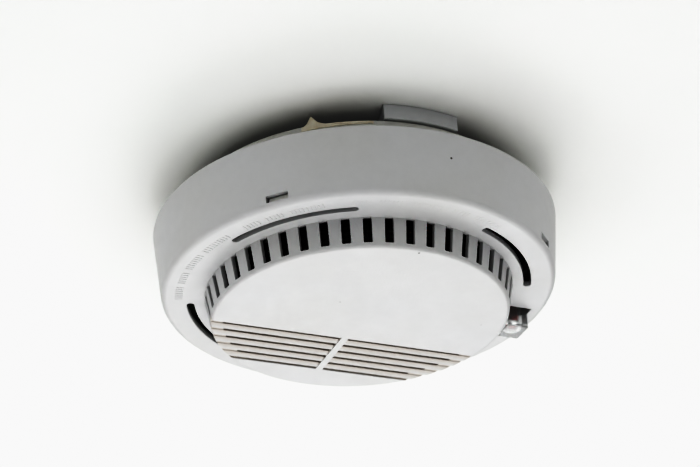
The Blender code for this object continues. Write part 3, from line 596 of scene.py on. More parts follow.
def metal(name, colour, tarnish, roughness=0.28, brush=(1.0, 1.0, 1.0), grain=0.25):
    """Bare or plated metal: fine scratches drawn out along brush, dull patches, brighter edges."""
    s = Shader(name)
    patches = s.span(s.noise(4.0, 4.0), 0.42, 0.68)
    tone = s.mix(s.maths("MULTIPLY", patches, 0.6), colour, tarnish)
    edge_mask = s.edges(0.2)
    tone = s.mix(s.maths("MULTIPLY", edge_mask, 0.5), tone, tuple(min(1.0, c * 1.2) for c in colour))
    rough = s.span(s.noise(2.0, 4.0, brush), 0.3, 0.7, roughness - 0.08, roughness + 0.12)
    relief = s.bump(s.noise(grain, 3.0, brush), 0.006)
    return s.finish({"Base Color": tone, "Roughness": rough, "Metallic": 1.0, "Normal": relief})


def clear(name, tint, roughness=0.03):
    """Clear plastic with hairline scratches and a little haze."""
    s = Shader(name)
    hair = s.span(s.noise(0.25, 3.0, (14.0, 1.0, 3.0)), 0.6, 0.72)
    rough = s.span(hair, 0, 1, roughness, roughness + 0.08)
    rough = s.maths("ADD", rough, s.span(s.noise(3.0, 3.0), 0.5, 0.8, 0.0, 0.05))
    relief = s.bump(s.noise(1.8, 2.0), 0.01, s.bump(hair, 0.002))
    tone = s.mix(s.span(s.noise(5.0), 0.4, 0.7), tint, tuple(c * 0.96 for c in tint))
    surface = {"Base Color": tone, "Roughness": rough, "Normal": relief}
    return s.finish({**surface, "Transmission Weight": 0.82, "IOR": 1.49})


cover_plastic = plastic(
    "cover_plastic",
    (0.675, 0.675, 0.682),
    (0.655, 0.65, 0.635),
    grain=0.7,
    relief=0.05,
    marks=(
        ((0.1, -51.2, -50.7), 0.45, 0.7),
        ((-12.5, -11.4, DISC_Z), 0.45, 0.25),
        ((42.9, -9.5, DISC_Z), 0.4, 0.2),
        ((5.0, -71.8, -24.5), 0.45, 0.9),
    ),
    sunk_dust_and_shade_above=DISC_Z,
)
housing_plastic = plastic("housing_plastic", (0.78, 0.78, 0.76), (0.73, 0.71, 0.66), 0.5)
bracket_plastic = plastic("bracket_plastic", (0.80, 0.805, 0.815), (0.76, 0.76, 0.755), 0.5)
black_plastic = plastic("black_plastic", (0.025, 0.025, 0.027), (0.05, 0.048, 0.045), 0.5)
clear_plastic = clear("clear_plastic", (0.95, 0.96, 0.96))


def board_mask(name, colour, deeper):
    """Green solder mask: glossy, with the weave of the glass under it and a little flux left on it."""
    s = Shader(name)
    threads = {"Vector": s.place, "Scale": 0.9 / MM}
    weave_x = s.node("ShaderNodeTexWave", threads, bands_direction="X").outputs[1]
    weave_y = s.node("ShaderNodeTexWave", threads, bands_direction="Y").outputs[1]
    weave = s.maths("MULTIPLY", weave_x, weave_y)
    tone = s.mix(s.span(s.noise(9.0, 3.0), 0.35, 0.7), colour, deeper)
    tone = s.mix(s.maths("MULTIPLY", weave, 0.18), tone, tuple(c * 1.6 for c in colour))
    flux = s.span(s.noise(4.0, 4.0, offset=5.0), 0.56, 0.70)
    tone = s.mix(s.maths("MULTIPLY", flux, 0.25), tone, (0.20, 0.19, 0.07))
    rough = s.span(flux, 0, 1, 0.28, 0.5)
    relief = s.bump(weave, 0.004, s.bump(s.noise(0.8), 0.004))
    return s.finish({"Base Color": tone, "Roughness": rough, "Normal": relief})


def banded(name, middle_x, bands):
    """A resistor's lacquer, with four colour bands round its length."""
    s = Shader(name)
    x = s.maths("SUBTRACT", s.along("X"), middle_x)
    tone = s.mix(s.span(s.noise(0.9, 3.0), 0.3, 0.7), (0.62, 0.47, 0.30), (0.70, 0.56, 0.38))
    for place, colour in zip((-2.1, -0.9, 0.1, 2.1), bands):
        edge = s.maths("ADD", x, s.span(s.noise(0.5), 0, 1, -0.08, 0.08))
        tone = s.mix(s.stripe(edge, place - 0.28, place + 0.28), tone, colour)
    relief = s.bump(s.noise(0.6, 3.0), 0.01)
    rough = s.span(s.noise(1.0), 0.3, 0.7, 0.25, 0.4)
    return s.finish({"Base Color": tone, "Roughness": rough, "Normal": relief})


def wire_sheath(name, colour):
    """Soft vinyl: faintly oily, scuffed in places."""
    s = Shader(name)
    scuff = s.span(s.noise(1.4, 4.0), 0.55, 0.72)
    tone = s.mix(s.maths("MULTIPLY", scuff, 0.35), colour, tuple(c * 0.6 + 0.06 for c in colour))
    relief = s.bump(s.noise(0.5, 3.0), 0.01, s.bump(s.noise(4.0), 0.05))
    return s.finish({"Base Color": tone, "Roughness": s.span(scuff, 0, 1, 0.32, 0.55), "Normal": relief})


def jacket():
    """A battery's metal jacket: dark with one copper-coloured end, rubbed at its corners, with no print."""
    s = Shader("battery_jacket")
    x = s.maths("ADD", s.along("X"), s.span(s.noise(1.5), 0, 1, -0.04, 0.04))
    dark = s.mix(s.span(s.noise(12.0, 3.0), 0.35, 0.7), (0.018, 0.02, 0.024), (0.032, 0.034, 0.038))
    copper = s.mix(s.span(s.noise(6.0, 3.0), 0.35, 0.7), (0.62, 0.30, 0.13), (0.50, 0.24, 0.11))
    tone = s.mix(s.span(x, 9.9, 10.0), dark, copper)
    bare = s.span(x, 22.3, 22.5)
    edge_mask = s.maths("MULTIPLY", s.edges(0.5), s.span(s.noise(1.2, 4.0), 0.45, 0.6))
    bare = s.maths("MAXIMUM", s.maths("MAXIMUM", bare, s.span(x, -22.3, -22.5)), edge_mask)
    tone = s.mix(bare, tone, (0.58, 0.57, 0.55))
    metallic = s.maths("MAXIMUM", bare, s.span(x, 9.9, 10.0, 0.0, 0.85))
    rough = s.span(s.noise(2.5, 4.0), 0.3, 0.7, 0.26, 0.42)
    relief = s.bump(s.noise(0.3, 3.0, (6.0, 1.0, 1.0)), 0.004, s.bump(s.noise(9.0), 0.05))
    return s.finish({"Base Color": tone, "Metallic": metallic, "Roughness": rough, "Normal": relief})


def sleeve():
    """A capacitor's shrunk sleeve, dark blue with one pale stripe down its side."""
    s = Shader("capacitor_sleeve")
    middle = centre_of("electrolytic_capacitor")
    across = s.maths("SUBTRACT", s.along("Y"), middle.y)
    front = s.span(s.maths("SUBTRACT", s.along("X"), middle.x), 0.1, -0.1)
    band = s.maths("MULTIPLY", s.stripe(across, -1.3, 1.3), front)
    tone = s.mix(s.span(s.noise(2.0, 3.0), 0.3, 0.7), (0.012, 0.03, 0.10), (0.02, 0.045, 0.13))
    tone = s.mix(band, tone, (0.55, 0.58, 0.62))
    relief = s.bump(s.noise(1.2, 3.0, (1.0, 1.0, 3.0)), 0.02)
    rough = s.span(s.noise(1.0), 0.3, 0.7, 0.22, 0.36)
    return s.finish({"Base Color": tone, "Roughness": rough, "Normal": relief})


steel = metal("steel", (0.60, 0.60, 0.61), (0.48, 0.46, 0.42), 0.3)
can_metal = metal("can_metal", (0.62, 0.62, 0.63), (0.50, 0.50, 0.49), 0.38, (1.0, 1.0, 5.0))
nickel = metal("nickel", (0.70, 0.68, 0.63), (0.58, 0.55, 0.48), 0.22)
tinned_metal = metal("tinned_metal", (0.70, 0.70, 0.69), (0.56, 0.55, 0.53), 0.3)
spring_bronze = metal("spring_bronze", (0.70, 0.46, 0.22), (0.50, 0.32, 0.16), 0.28, (8.0, 1.0, 1.0))
piezo_brass = metal("piezo_brass", (0.80, 0.60, 0.26), (0.62, 0.45, 0.22), 0.28, (6.0, 1.0, 1.0))
ceramic = plastic("ceramic", (0.78, 0.76, 0.70), (0.70, 0.67, 0.60), 0.35, 0.3, 0.008)
chip_epoxy = plastic("chip_epoxy", (0.022, 0.022, 0.024), (0.04, 0.038, 0.036), 0.5, 0.25, 0.015)
capacitor_ceramic = plastic("capacitor_ceramic", (0.62, 0.30, 0.08), (0.52, 0.26, 0.09), 0.3, 1.1, 0.03)
white_print = plastic("white_print", (0.75, 0.75, 0.72), (0.66, 0.65, 0.58), 0.5, 0.3, 0.01)
lamp_epoxy = clear("lamp_epoxy", (0.80, 0.04, 0.04), 0.08)
board_laminate = board_mask("board_laminate", (0.020, 0.115, 0.035), (0.014, 0.085, 0.03))
track_mask = board_mask("track_mask", (0.045, 0.19, 0.055), (0.035, 0.155, 0.05))
wire_red = wire_sheath("wire_red", (0.50, 0.018, 0.018))
wire_black = wire_sheath("wire_black", (0.018, 0.018, 0.02))
capacitor_sleeve = sleeve()
battery_jacket = jacket()


# ---------------------------------------------------------------- front cover


def cover_body():
    """The cover turned from its section: wall, flat rim, drum and disc, then back along the inside."""
    inner_drum = DRUM_FACE_R - DRUM_WALL
    section = [
        (COVER_BACK_R - 0.6, COVER_BACK_Z, 0.0),
        (COVER_BACK_R, COVER_BACK_Z, 0.35),
        (COVER_FRONT_R, COVER_FACE_Z, RIM_ROUND),
        (DRUM_BASE_R, COVER_FACE_Z, 0.15),
        (DRUM_FACE_R, DISC_Z, DISC_EDGE),
        (DRUM_FACE_R - 2.0, DISC_Z, 0.0),
        (inner_drum - 1.5, DISC_Z + DISC_T, 0.0),
        (inner_drum, DISC_Z + DISC_T, 0.6),
        (DRUM_BASE_R - DRUM_WALL, COVER_FACE_Z + COVER_WALL, 0.8),
        (COVER_FRONT_R - COVER_WALL, COVER_FACE_Z + COVER_WALL, 1.0),
        (COVER_BACK_R - COVER_WALL, COVER_BACK_Z, 0.3),
    ]
    # the disc's two faces are the caps, so the section starts and ends at their rings
    start = 5
    order = section[start + 1 :] + section[: start + 1]
    outline = rounded(order, 6, closed=False)
    return lathe(outline, ROUND)


def drum_slots():
    """The slots round the drum, each square to the conical wall it goes through."""
    slope = (DRUM_BASE_R - DRUM_FACE_R) / (COVER_FACE_Z - DISC_Z)
    length = math.hypot(1.0, slope)
    middle = (DRUM_SLOT_BACK_Z + DRUM_SLOT_FRONT_Z) / 2
    half_height = (DRUM_SLOT_BACK_Z - DRUM_SLOT_FRONT_Z) / 2 * length
    radius = DRUM_FACE_R + slope * (middle - DISC_Z)
    slots = []
    for i in range(DRUM_SLOTS):
        angle = math.tau * i / DRUM_SLOTS
        across = (-math.sin(angle), math.cos(angle), 0.0)
        up = Vector((slope * math.cos(angle), slope * math.sin(angle), 1.0)) / length
        out = Vector((math.cos(angle), math.sin(angle), -slope)) / length
        slot = punch(rectangle(DRUM_SLOT_WIDTH / 2, half_height, 0.2, steps=3), DRUM_WALL + 1.5, 0.16, 0.1)
        slots.append(placed(slot, across, up, out, (*polar(radius, angle), middle)))
    return merged(slots)


def arc_slots():
    """The four round-ended slots in the rim."""
    half = ARC_SLOT_WIDTH / 2
    slots = []
    for angle in DIAGONALS:
        start, end = angle - ARC_SLOT_HALF_ANGLE, angle + ARC_SLOT_HALF_ANGLE
        outline = arc(ARC_SLOT_R + half, start, end, 40)
        outline += arc(half, end, end + math.pi, 10, polar(ARC_SLOT_R, end))[1:-1]
        outline += arc(ARC_SLOT_R - half, end, start, 40)
        outline += arc(half, start + math.pi, start + math.tau, 10, polar(ARC_SLOT_R, start))[1:-1]
        slots.append(facing_down(punch(outline, COVER_WALL + 1.0, 0.3, 0.2), COVER_FACE_Z))
    return merged(slots)


def latch_windows():
    """The four openings in the wall, in front of the latch arms."""
    slope = (COVER_BACK_R - COVER_FRONT_R) / (COVER_BACK_Z - COVER_FACE_Z)
    middle = (WINDOW_BACK_Z + WINDOW_FRONT_Z) / 2
    radius = COVER_FRONT_R + slope * (middle - COVER_FACE_Z)
    half_height = (WINDOW_BACK_Z - WINDOW_FRONT_Z) / 2
    windows = []
    for angle in DIAGONALS:
        across = (-math.sin(angle), math.cos(angle), 0.0)
        out = (math.cos(angle), math.sin(angle), 0.0)
        window = punch(rectangle(WINDOW_HALF_WIDTH, half_height, 0.25, steps=3), COVER_WALL + 0.6, 0.2, 0.35)
        windows.append(placed(window, across, (0, 0, 1), out, (*polar(radius, angle), middle)))
    return merged(windows)


def button_notch():
    centre = ((NOTCH_X[0] + NOTCH_X[1]) / 2, 0.0)
    outline = rectangle((NOTCH_X[1] - NOTCH_X[0]) / 2, NOTCH_HALF_WIDTH, 0.5, centre)
    return facing_down(punch(outline, COVER_WALL + 2.0, 0.3, 0.2), COVER_FACE_Z)


def louvre_y(i):
    return LOUVRE_FIRST_Y + i * LOUVRE_PITCH


def louvre_comb(depth, x0, x1):
    """A cutter with a tooth for each gap, and between teeth the slope of a blade's sunk face."""
    last = louvre_y(LOUVRE_GAPS - 1) + LOUVRE_LAST_GAP
    points = [(LOUVRE_FIRST_Y - 0.9, 0.16, 0.0), (LOUVRE_FIRST_Y, -0.06, 0.2)]
    for i in range(LOUVRE_GAPS - 1):
        near, far = louvre_y(i) + LOUVRE_GAP, louvre_y(i + 1)
        points.append((louvre_y(i), -depth, 0.2))
        points.append((near, -depth, 0.2))
        points.append((near, -BLADE_NEAR_SINK, 0.15))
        points.append((far, -BLADE_FAR_SINK, 0.25))
    points += [(louvre_y(LOUVRE_GAPS - 1), -depth, 0.2), (last, -depth, 0.2)]
    points += [(last, -0.06, 0.2), (last + 0.9, 0.16, 0.0)]
    return along_x(block(rounded(points, 4), x0, x1))


def louvre_field(side):
    """The half of the disc's far side where the gaps go right through: side is 1 at +X and -1 at -X."""
    low = LOUVRE_FIRST_Y - 3.0
    high = louvre_y(LOUVRE_GAPS - 1) + LOUVRE_LAST_GAP + 2.5
    rib = LOUVRE_RIB_X * side + LOUVRE_RIB_HALF
    start, end = math.asin(low / LOUVRE_R), math.asin(high / LOUVRE_R)
    outline = [(rib, low)] + arc(LOUVRE_R, start, end, 40) + [(rib, high)]
    return block([(side * x, y) for x, y in outline], -DISC_T - 1.0, 1.0)


def louvre_gaps():
    """The gaps, cut through the disc inside the two fields."""
    comb = louvre_comb(DISC_T + 2.0, -LOUVRE_R - 2.0, LOUVRE_R + 2.0)
    fields = merged([louvre_field(-1), louvre_field(1)])
    return facing_down(carve(comb, [("INTERSECT", fields)]), DISC_Z)


def louvre_bands():
    """The sunk faces of the blades and the shallow ends of the gaps, out through the disc's edge."""
    outer = DRUM_FACE_R + 2.0
    left = louvre_comb(GROOVE_DEPTH, -outer, LOUVRE_RIB_X - LOUVRE_RIB_HALF)
    right = louvre_comb(GROOVE_DEPTH, LOUVRE_RIB_X + LOUVRE_RIB_HALF, outer)
    return facing_down(merged([left, right]), DISC_Z)


def rim_strokes():
    """Plain radial dashes in groups of uneven length, slightly raised."""
    draw = random.Random(7)
    strokes = []
    middle = (STROKE_R[0] + STROKE_R[1]) / 2
    half = (STROKE_R[1] - STROKE_R[0]) / 2
    for start, end, height in STROKE_BANDS:
        angle = math.radians(start)
        while angle < math.radians(end):
            for _ in range(draw.randint(5, 10)):
                outline = rectangle(half, STROKE_WIDTH / 2, 0.2, steps=2)
                dash = block(outline, -STROKE_ROOT, height, 0.0, min(0.1, height / 2), 2)
                dash = turned(moved(dash, (middle, 0, 0)), angle)
                strokes.append(facing_down(dash, COVER_FACE_Z))
                angle += STROKE_PITCH
            angle += STROKE_PITCH * 1.4
    return merged(strokes)


def build_cover():
    steps = [
        ("UNION", rim_strokes()),
        ("DIFFERENCE", drum_slots()),
        ("DIFFERENCE", arc_slots()),
        ("DIFFERENCE", latch_windows()),
        ("DIFFERENCE", button_notch()),
        ("DIFFERENCE", louvre_bands()),
        ("DIFFERENCE", louvre_gaps()),
    ]
    shell = carve(cover_body(), steps)
    add_piece("cover_shell", shell, cover_plastic, ["front_cover"], body="cover")


# ---------------------------------------------------------------- rear housing and bracket


def bayonet_opening(angle):
    """An opening that lets one hook in at the unlocked turn and holds its toe at the locked turn."""
    slack = math.radians(1.2)
    reach = HOOK_HALF_WIDTH / (HOOK_R_IN + 1.0)
    start = angle - reach - slack
    step = angle + TWIST - reach - slack
    end = angle + TWIST + reach + slack
    r0 = HOOK_R_IN - 0.5
    r1 = HOOK_R_IN + HOOK_STEM + 0.5
    r2 = r1 + HOOK_TOE
    outline = arc(r0, start, end, 24) + arc(r2, end, step, 16) + arc(r1, step, start, 16)
    return moved(punch(outline, 5.0, 0.3, 0.2), (0, 0, HOUSING_BACK_Z))


def housing_body():
    inner = HOUSING_R - HOUSING_WALL
    section = [
        (HOUSING_R - 2.0, HOUSING_BACK_Z, 0.0),
        (HOUSING_R, HOUSING_BACK_Z, 0.3),
        (HOUSING_R, FLANGE_BACK_Z, 0.8),
        (FLANGE_R, FLANGE_BACK_Z, 0.3),
        (FLANGE_R, FLANGE_FRONT_Z, 0.3),
        (inner, FLANGE_FRONT_Z, 0.4),
        (inner, HOUSING_FLOOR_Z, 0.8),
        (inner - 2.0, HOUSING_FLOOR_Z, 0.0),
    ]
    return lathe(rounded(section, 5, closed=False), ROUND)


def snap_arm(angle):
    """A latch arm with a rounded tip just inside the cover's wall, and the catch that shows in the window."""
    middle = (SNAP_R[0] + SNAP_R[1]) / 2
    half = (SNAP_R[1] - SNAP_R[0]) / 2
    outline = rectangle(half, SNAP_HALF_WIDTH, 0.3, (middle, 0.0))
    arm = block(outline, SNAP_END_Z, FLANGE_FRONT_Z + 1.0, 0.25)
    reach = rectangle((CATCH_R[1] - CATCH_R[0]) / 2, SNAP_HALF_WIDTH, 0.3, (sum(CATCH_R) / 2, 0.0))
    catch = block(reach, CATCH_Z[0], CATCH_Z[1], 0.15, 0.15)
    return turned(carve(arm, [("UNION", catch)]), angle)


def screw_posts():
    """The bosses under the board, and their bores."""
    top = HOUSING_FLOOR_Z + 0.5
    end = corners("circuit_board")[1].z + 0.3
    posts, bores = [], []
    for index in (1, 2, 3):
        middle = centre_of(f"board_screw_{index}")
        place = (middle.x, middle.y)
        section = [(0.5, end, 0.0), (BOSS_R, end, 0.3), (BOSS_R + 0.25, top, 0.0), (0.5, top, 0.0)]
        posts.append(spun(section, TINY_ROUND, place))
        bore = [(BOSS_BORE_R, end - 2.0), (BOSS_BORE_R, HOUSING_FLOOR_Z - 2.0)]
        bores.append(lathe(bore, TINY_ROUND, place))
    return merged(posts), merged(bores)


def battery_rib():
    """The low wall along the battery's near side."""
    side = corners("battery_case")[1].y + RIB_CLEARANCE
    outline = rectangle((RIB_X[1] - RIB_X[0]) / 2, RIB_T / 2, 0.4, (sum(RIB_X) / 2, side + RIB_T / 2))
    return block(outline, RIB_END_Z, HOUSING_FLOOR_Z + 0.5, 0.3)


def battery_clip(x):
    """A springy clip whose hooked tip holds the battery's far side against the floor."""
    low = corners("battery_case")[0]
    far = low.y
    tip = low.z - CLIP_TIP
    front = far - RIB_CLEARANCE
    back = front - CLIP_T
    outline = [
        (back, HOUSING_FLOOR_Z + 0.5, 0.0),
        (front, HOUSING_FLOOR_Z + 0.5, 0.0),
        (front, tip + 1.2, 0.15),
        (far + CLIP_CATCH, tip + 1.2, 0.2),
        (far - 0.4, tip - 0.2, 0.4),
        (back, tip - 0.2, 0.4),
    ]
    return along_x(block(rounded(outline, 4), x - CLIP_HALF_WIDTH, x + CLIP_HALF_WIDTH, 0.25, 0.25))


def build_housing():
    posts, bores = screw_posts()
    steps = [("UNION", posts), ("UNION", battery_rib())]
    steps += [("UNION", battery_clip(x)) for x in (-CLIP_X, CLIP_X)]
    steps += [("UNION", snap_arm(angle)) for angle in DIAGONALS]
    openings = merged([bayonet_opening(angle) for angle in HOOK_ANGLES])
    steps += [("DIFFERENCE", bores), ("DIFFERENCE", openings)]
    shell = carve(housing_body(), steps)
    add_piece("housing_shell", shell, housing_plastic, ["rear_housing"])


def keyhole(x):
    """A keyhole cutter: a round hole for the screw head, with a neck running along Y."""
    head = arc(KEYHOLE_HEAD_R, math.radians(122), math.radians(418), 40, (x, 0.0))
    tip = arc(KEYHOLE_NECK_R, 0.0, math.pi, 16, (x, KEYHOLE_RUN))
    return facing_down(punch(head + tip, BRACKET_T + 1.0, 0.25, 0.2), -BRACKET_T)


def hook(angle):
    """A bayonet hook: a stem from the plate, with a toe that points outwards."""
    stem_out = HOOK_R_IN + HOOK_STEM
    toe_out = stem_out + HOOK_TOE
    points = [
        (HOOK_R_IN, -1.0, 0.0),
        (HOOK_R_IN, HOOK_END, 0.4),
        (toe_out, HOOK_END, 0.4),
        (toe_out, HOOK_TOP, 0.3),
        (stem_out, HOOK_TOP, 0.3),
        (stem_out, -1.0, 0.0),
    ]
    shape = along_x(block(rounded(points), -HOOK_HALF_WIDTH, HOOK_HALF_WIDTH, 0.25, 0.25))
    return turned(shape, angle - math.pi / 2)


def build_bracket():
    section = [
        (BRACKET_R - 2.0, 0.0, 0.0),
        (BRACKET_R, 0.0, 0.2),
        (BRACKET_R, -BRACKET_T, 0.6),
        (BRACKET_R - 2.0, -BRACKET_T, 0.0),
    ]
    middle = math.radians(270.0)
    start, end = middle - BLOCK_HALF_ANGLE, middle + BLOCK_HALF_ANGLE
    lump = block(ring_sector(*BLOCK_R, start, end, 24, 0.25), -BLOCK_DEPTH, 0.0, 0.15, 0.1)
    hollow_r = (HOOK_R_IN + HOOK_STEM + HOOK_TOE, BLOCK_R[1] - 3.0)
    hollow = block(ring_sector(*hollow_r, start + 0.04, end - 0.04, 24, 0.8), -BLOCK_DEPTH - 2.0, -BRACKET_T)
    steps = [("UNION", lump), ("DIFFERENCE", hollow)]
    steps += [("UNION", hook(angle)) for angle in HOOK_ANGLES]
    steps += [("DIFFERENCE", merged([keyhole(-KEYHOLE_X), keyhole(KEYHOLE_X)]))]
    plate = carve(spun(section, ROUND), steps)
    add_piece("bracket_plate", plate, bracket_plastic, ["mounting_bracket"], body="bracket")


def build_flake():
    """A torn scrap of dried paint on the ring, with one corner that stands up."""
    s = Shader("dried_paint")
    tone = s.mix(s.span(s.noise(2.0, 4.0), 0.35, 0.7), (0.86, 0.80, 0.68), (0.93, 0.90, 0.81))
    relief = s.bump(s.noise(0.5, 4.0), 0.04, s.bump(s.noise(2.5), 0.1))
    rough = s.span(s.noise(1.0), 0.3, 0.7, 0.6, 0.85)
    paint = s.finish({"Base Color": tone, "Roughness": rough, "Normal": relief})
    # along the ring: a peak that stands up, then a thin ragged strip
    count = 100
    draw = random.Random(3)
    rows = []
    for i in range(count + 1):
        t = i / count
        angle = FLAKE_START + (FLAKE_END - FLAKE_START) * t
        spread = 1.3 if angle < FLAKE_PEAK else 2.0
        rise = 3.4 * math.exp(-abs((angle - FLAKE_PEAK) / spread) ** 1.5)
        top = -6.35 + rise + draw.uniform(-0.12, 0.12)
        bottom = -8.0 + 0.7 * t + draw.uniform(-0.15, 0.15)
        rows.append((math.radians(angle), bottom, max(top, bottom + 0.3)))
    loops = []
    for angle, bottom, top in rows:
        curl = 0.35 * max(0.0, top + 6.2) / 3.0
        back, front = HOUSING_R - 0.15, HOUSING_R + 0.2
        steps = 5
        heights = [bottom + (top - bottom) * k / steps for k in range(steps + 1)]
        outer = [(front + curl * (k / steps) ** 2, z) for k, z in enumerate(heights)]
        inner = [(back + curl * (k / steps) ** 2, z) for k, z in enumerate(heights)]
        inner = [(r + 0.2 if z > -6.4 else r, z) for r, z in inner]
        loops.append([(*polar(r, angle), z) for r, z in outer + inner[::-1]])
    add_piece("paint_flake", stack(loops), paint, sharp=50.0)


# ---------------------------------------------------------------- test button


def build_button():
    """A clear block: a lip behind the cover, a domed bore over the lamp and a foot for the switch."""
    centre = (BUTTON_X, 0.0)
    outline = rectangle(BUTTON_HALF_X, BUTTON_HALF_Y, 0.7, centre)
    body = block(outline, BUTTON_FACE_Z, BUTTON_BACK_Z, 0.5, 0.2, 4)
    lip_x = (BUTTON_X - BUTTON_HALF_X - 0.9 + button_high.x) / 2
    lip_half = button_high.x - lip_x
    lip = block(rectangle(lip_half, button_high.y, 0.4, (lip_x, 0.0)), -37.8, -36.3, 0.25, 0.25)
    foot = block(rectangle(1.0, 1.0, 0.25, (61.0, 6.8)), -37.0, button_high.z, 0.0, 0.3)
    tip = BUTTON_BORE_END_Z
    bore_profile = [(BUTTON_BORE_R, BUTTON_BACK_Z + 3.0), (BUTTON_BORE_R, tip + 1.6)]
    bore_profile += [
        (BUTTON_BORE_R * math.cos(a), tip + 1.6 - 1.6 * math.sin(a))
        for a in (math.pi / 2 * i / 10 for i in range(1, 10))
    ]
    bore = lathe(bore_profile, TINY_ROUND, centre)
    shape = carve(body, [("UNION", lip), ("UNION", foot), ("DIFFERENCE", bore)])
    add_piece("button_block", shape, clear_plastic, ["test_button"], body="button")


# ---------------------------------------------------------------- insect screen


def screen_ring(bm, radius, i, j, reaches):
    """Eight vertices round one cell of the screen, each at the given share of the cell's size."""
    low, high = corners("insect_screen")
    height = (high.z - low.z) / SCREEN_ROWS
    ring = []
    for k, reach in enumerate(reaches):
        across, up = polar(reach, math.tau * k / 8)
        place = polar(radius, (i + 0.5 + across) * math.tau / SCREEN_COLUMNS)
        ring.append(bm.verts.new((*place, low.z + (j + 0.5 + up) * height)))
    return ring


def screen_cell(bm, i, j, outer, inner):
    edge = [0.5, math.sqrt(0.5)] * 4
    hole = [SCREEN_HOLE] * 8
    edge_out, hole_out = screen_ring(bm, outer, i, j, edge), screen_ring(bm, outer, i, j, hole)
    edge_in, hole_in = screen_ring(bm, inner, i, j, edge), screen_ring(bm, inner, i, j, hole)
    for k in range(8):
        n = (k + 1) % 8
        bm.faces.new((edge_out[k], edge_out[n], hole_out[n], hole_out[k]))
        bm.faces.new((edge_in[n], edge_in[k], hole_in[k], hole_in[n]))
        bm.faces.new((hole_out[k], hole_out[n], hole_in[n], hole_in[k]))
        at_top = j == SCREEN_ROWS - 1 and k in (1, 2)
        at_bottom = j == 0 and k in (5, 6)
        if at_top or at_bottom:
            bm.faces.new((edge_out[n], edge_out[k], edge_in[k], edge_in[n]))


def build_screen():
    """A thin ring pierced all over by small round holes."""
    outer = corners("insect_screen")[1].x
    bm = bmesh.new()
    for i in range(SCREEN_COLUMNS):
        for j in range(SCREEN_ROWS):
            screen_cell(bm, i, j, outer, outer - SCREEN_T)
    bmesh.ops.remove_doubles(bm, verts=bm.verts, dist=1e-3)
    bmesh.ops.recalc_face_normals(bm, faces=bm.faces)
    add_piece("screen_mesh", bm, black_plastic, ["insect_screen"], body="cover")


# ---------------------------------------------------------------- wires


def battery_wire_path(y, end_x):
    """From a battery contact over the board's straight edge to its face."""
    start_x = corners("contact_holder")[1].x + 0.4
    return [
        (start_x, y, -18.0),
        (start_x + 3.5, y + 1.0, -20.5),
        ((start_x + end_x) / 2 + 2.5, (y - 16.0) / 2, -26.0),
        (end_x, -17.5, -27.0),
        (end_x, -15.8, WIRE_END_Z),
    ]


def horn_wire_path(y, end_y):
    """From the horn in a loop to the board's face."""
    side_x = corners("horn_case")[1].x
    return [
        (side_x + 1.4, y - 6.0, -33.0),
        (side_x + 4.0, y - 5.0, -35.0),
        (side_x + 7.0, y - 2.0, -31.0),
        (side_x + 7.5, end_y, WIRE_END_Z),
    ]


WIRES = [
    ("battery_wire_positive", battery_wire_path(-41.0, 47.0), wire_red),
    ("battery_wire_negative", battery_wire_path(-31.0, 41.0), wire_black),
    ("horn_wire_red", horn_wire_path(33.0, 28.0), wire_red),
    ("horn_wire_black", horn_wire_path(37.0, 33.0), wire_black),
]


def tube(points, radius, detail=4):
    """A round wire along a smooth path through the points."""
    curve = bpy.data.curves.new("path", "CURVE")
    curve.dimensions = "3D"
    curve.resolution_u = 10
    curve.bevel_depth = radius
    curve.bevel_resolution = detail
    curve.use_fill_caps = True
    spline = curve.splines.new("BEZIER")
    spline.bezier_points.add(len(points) - 1)
    for knot, point in zip(spline.bezier_points, points):
        knot.co = point
        knot.handle_left_type = "AUTO"
        knot.handle_right_type = "AUTO"
    path = bpy.data.objects.new("path", curve)
    bpy.context.scene.collection.objects.link(path)
    bpy.context.view_layer.update()
    mesh = bpy.data.meshes.new_from_object(path.evaluated_get(bpy.context.evaluated_depsgraph_get()))
    bm = bmesh.new()
    bm.from_mesh(mesh)
    bpy.data.meshes.remove(mesh)
    bpy.data.objects.remove(path)
    bpy.data.curves.remove(curve)
    return bm


def build_wires():
    for node, path, sheath in WIRES:
        add_piece(f"{node}_sheath", tube(path, WIRE_R), sheath, [node])


# ---------------------------------------------------------------- circuit board


def ribbon(points, width, z0, z1):
    """A flat strip of even width along a path."""
    spots = [Vector(p) for p in points]
    left, right = [], []
    for i, spot in enumerate(spots):
        before = (spot - spots[i - 1]).normalized() if i > 0 else (spots[1] - spot).normalized()
        after = (spots[i + 1] - spot).normalized() if i < len(spots) - 1 else before
        along = (before + after).normalized()
        side = Vector((-along.y, along.x)) * (width / 2 / max(0.4, along.dot(before)))
        left.append(tuple(spot + side))
        right.append(tuple(spot - side))
    return block(left + right[::-1], z0, z1)


def chip_pin_places():
    low, high, x, y = upright("alarm_chip")
    reach = (high.y - low.y) / 2 - 0.2
    return [(x + (i - 3.5) * CHIP_PITCH, y + side * reach) for side in (-1, 1) for i in range(8)]


def resistor_leg_places(node):
    middle = centre_of(node)
    return [(middle.x + side * RESISTOR_LEG_X, middle.y) for side in (-1, 1)]


def solder_places():
    """Where the legs and wires meet the board."""
    places = chip_pin_places()
    for index in (1, 2, 3):
        places += resistor_leg_places(f"resistor_{index}")
    disc = centre_of("ceramic_capacitor")
    places += [(disc.x, disc.y - 2.0), (disc.x, disc.y + 2.0)]
    for node in ("lamp_leg_1", "lamp_leg_2", "switch_contact_stud", "switch_post"):
        middle = centre_of(node)
        places.append((middle.x, middle.y))
    places += [path[-1][:2] for _, path, _ in WIRES]
    return places


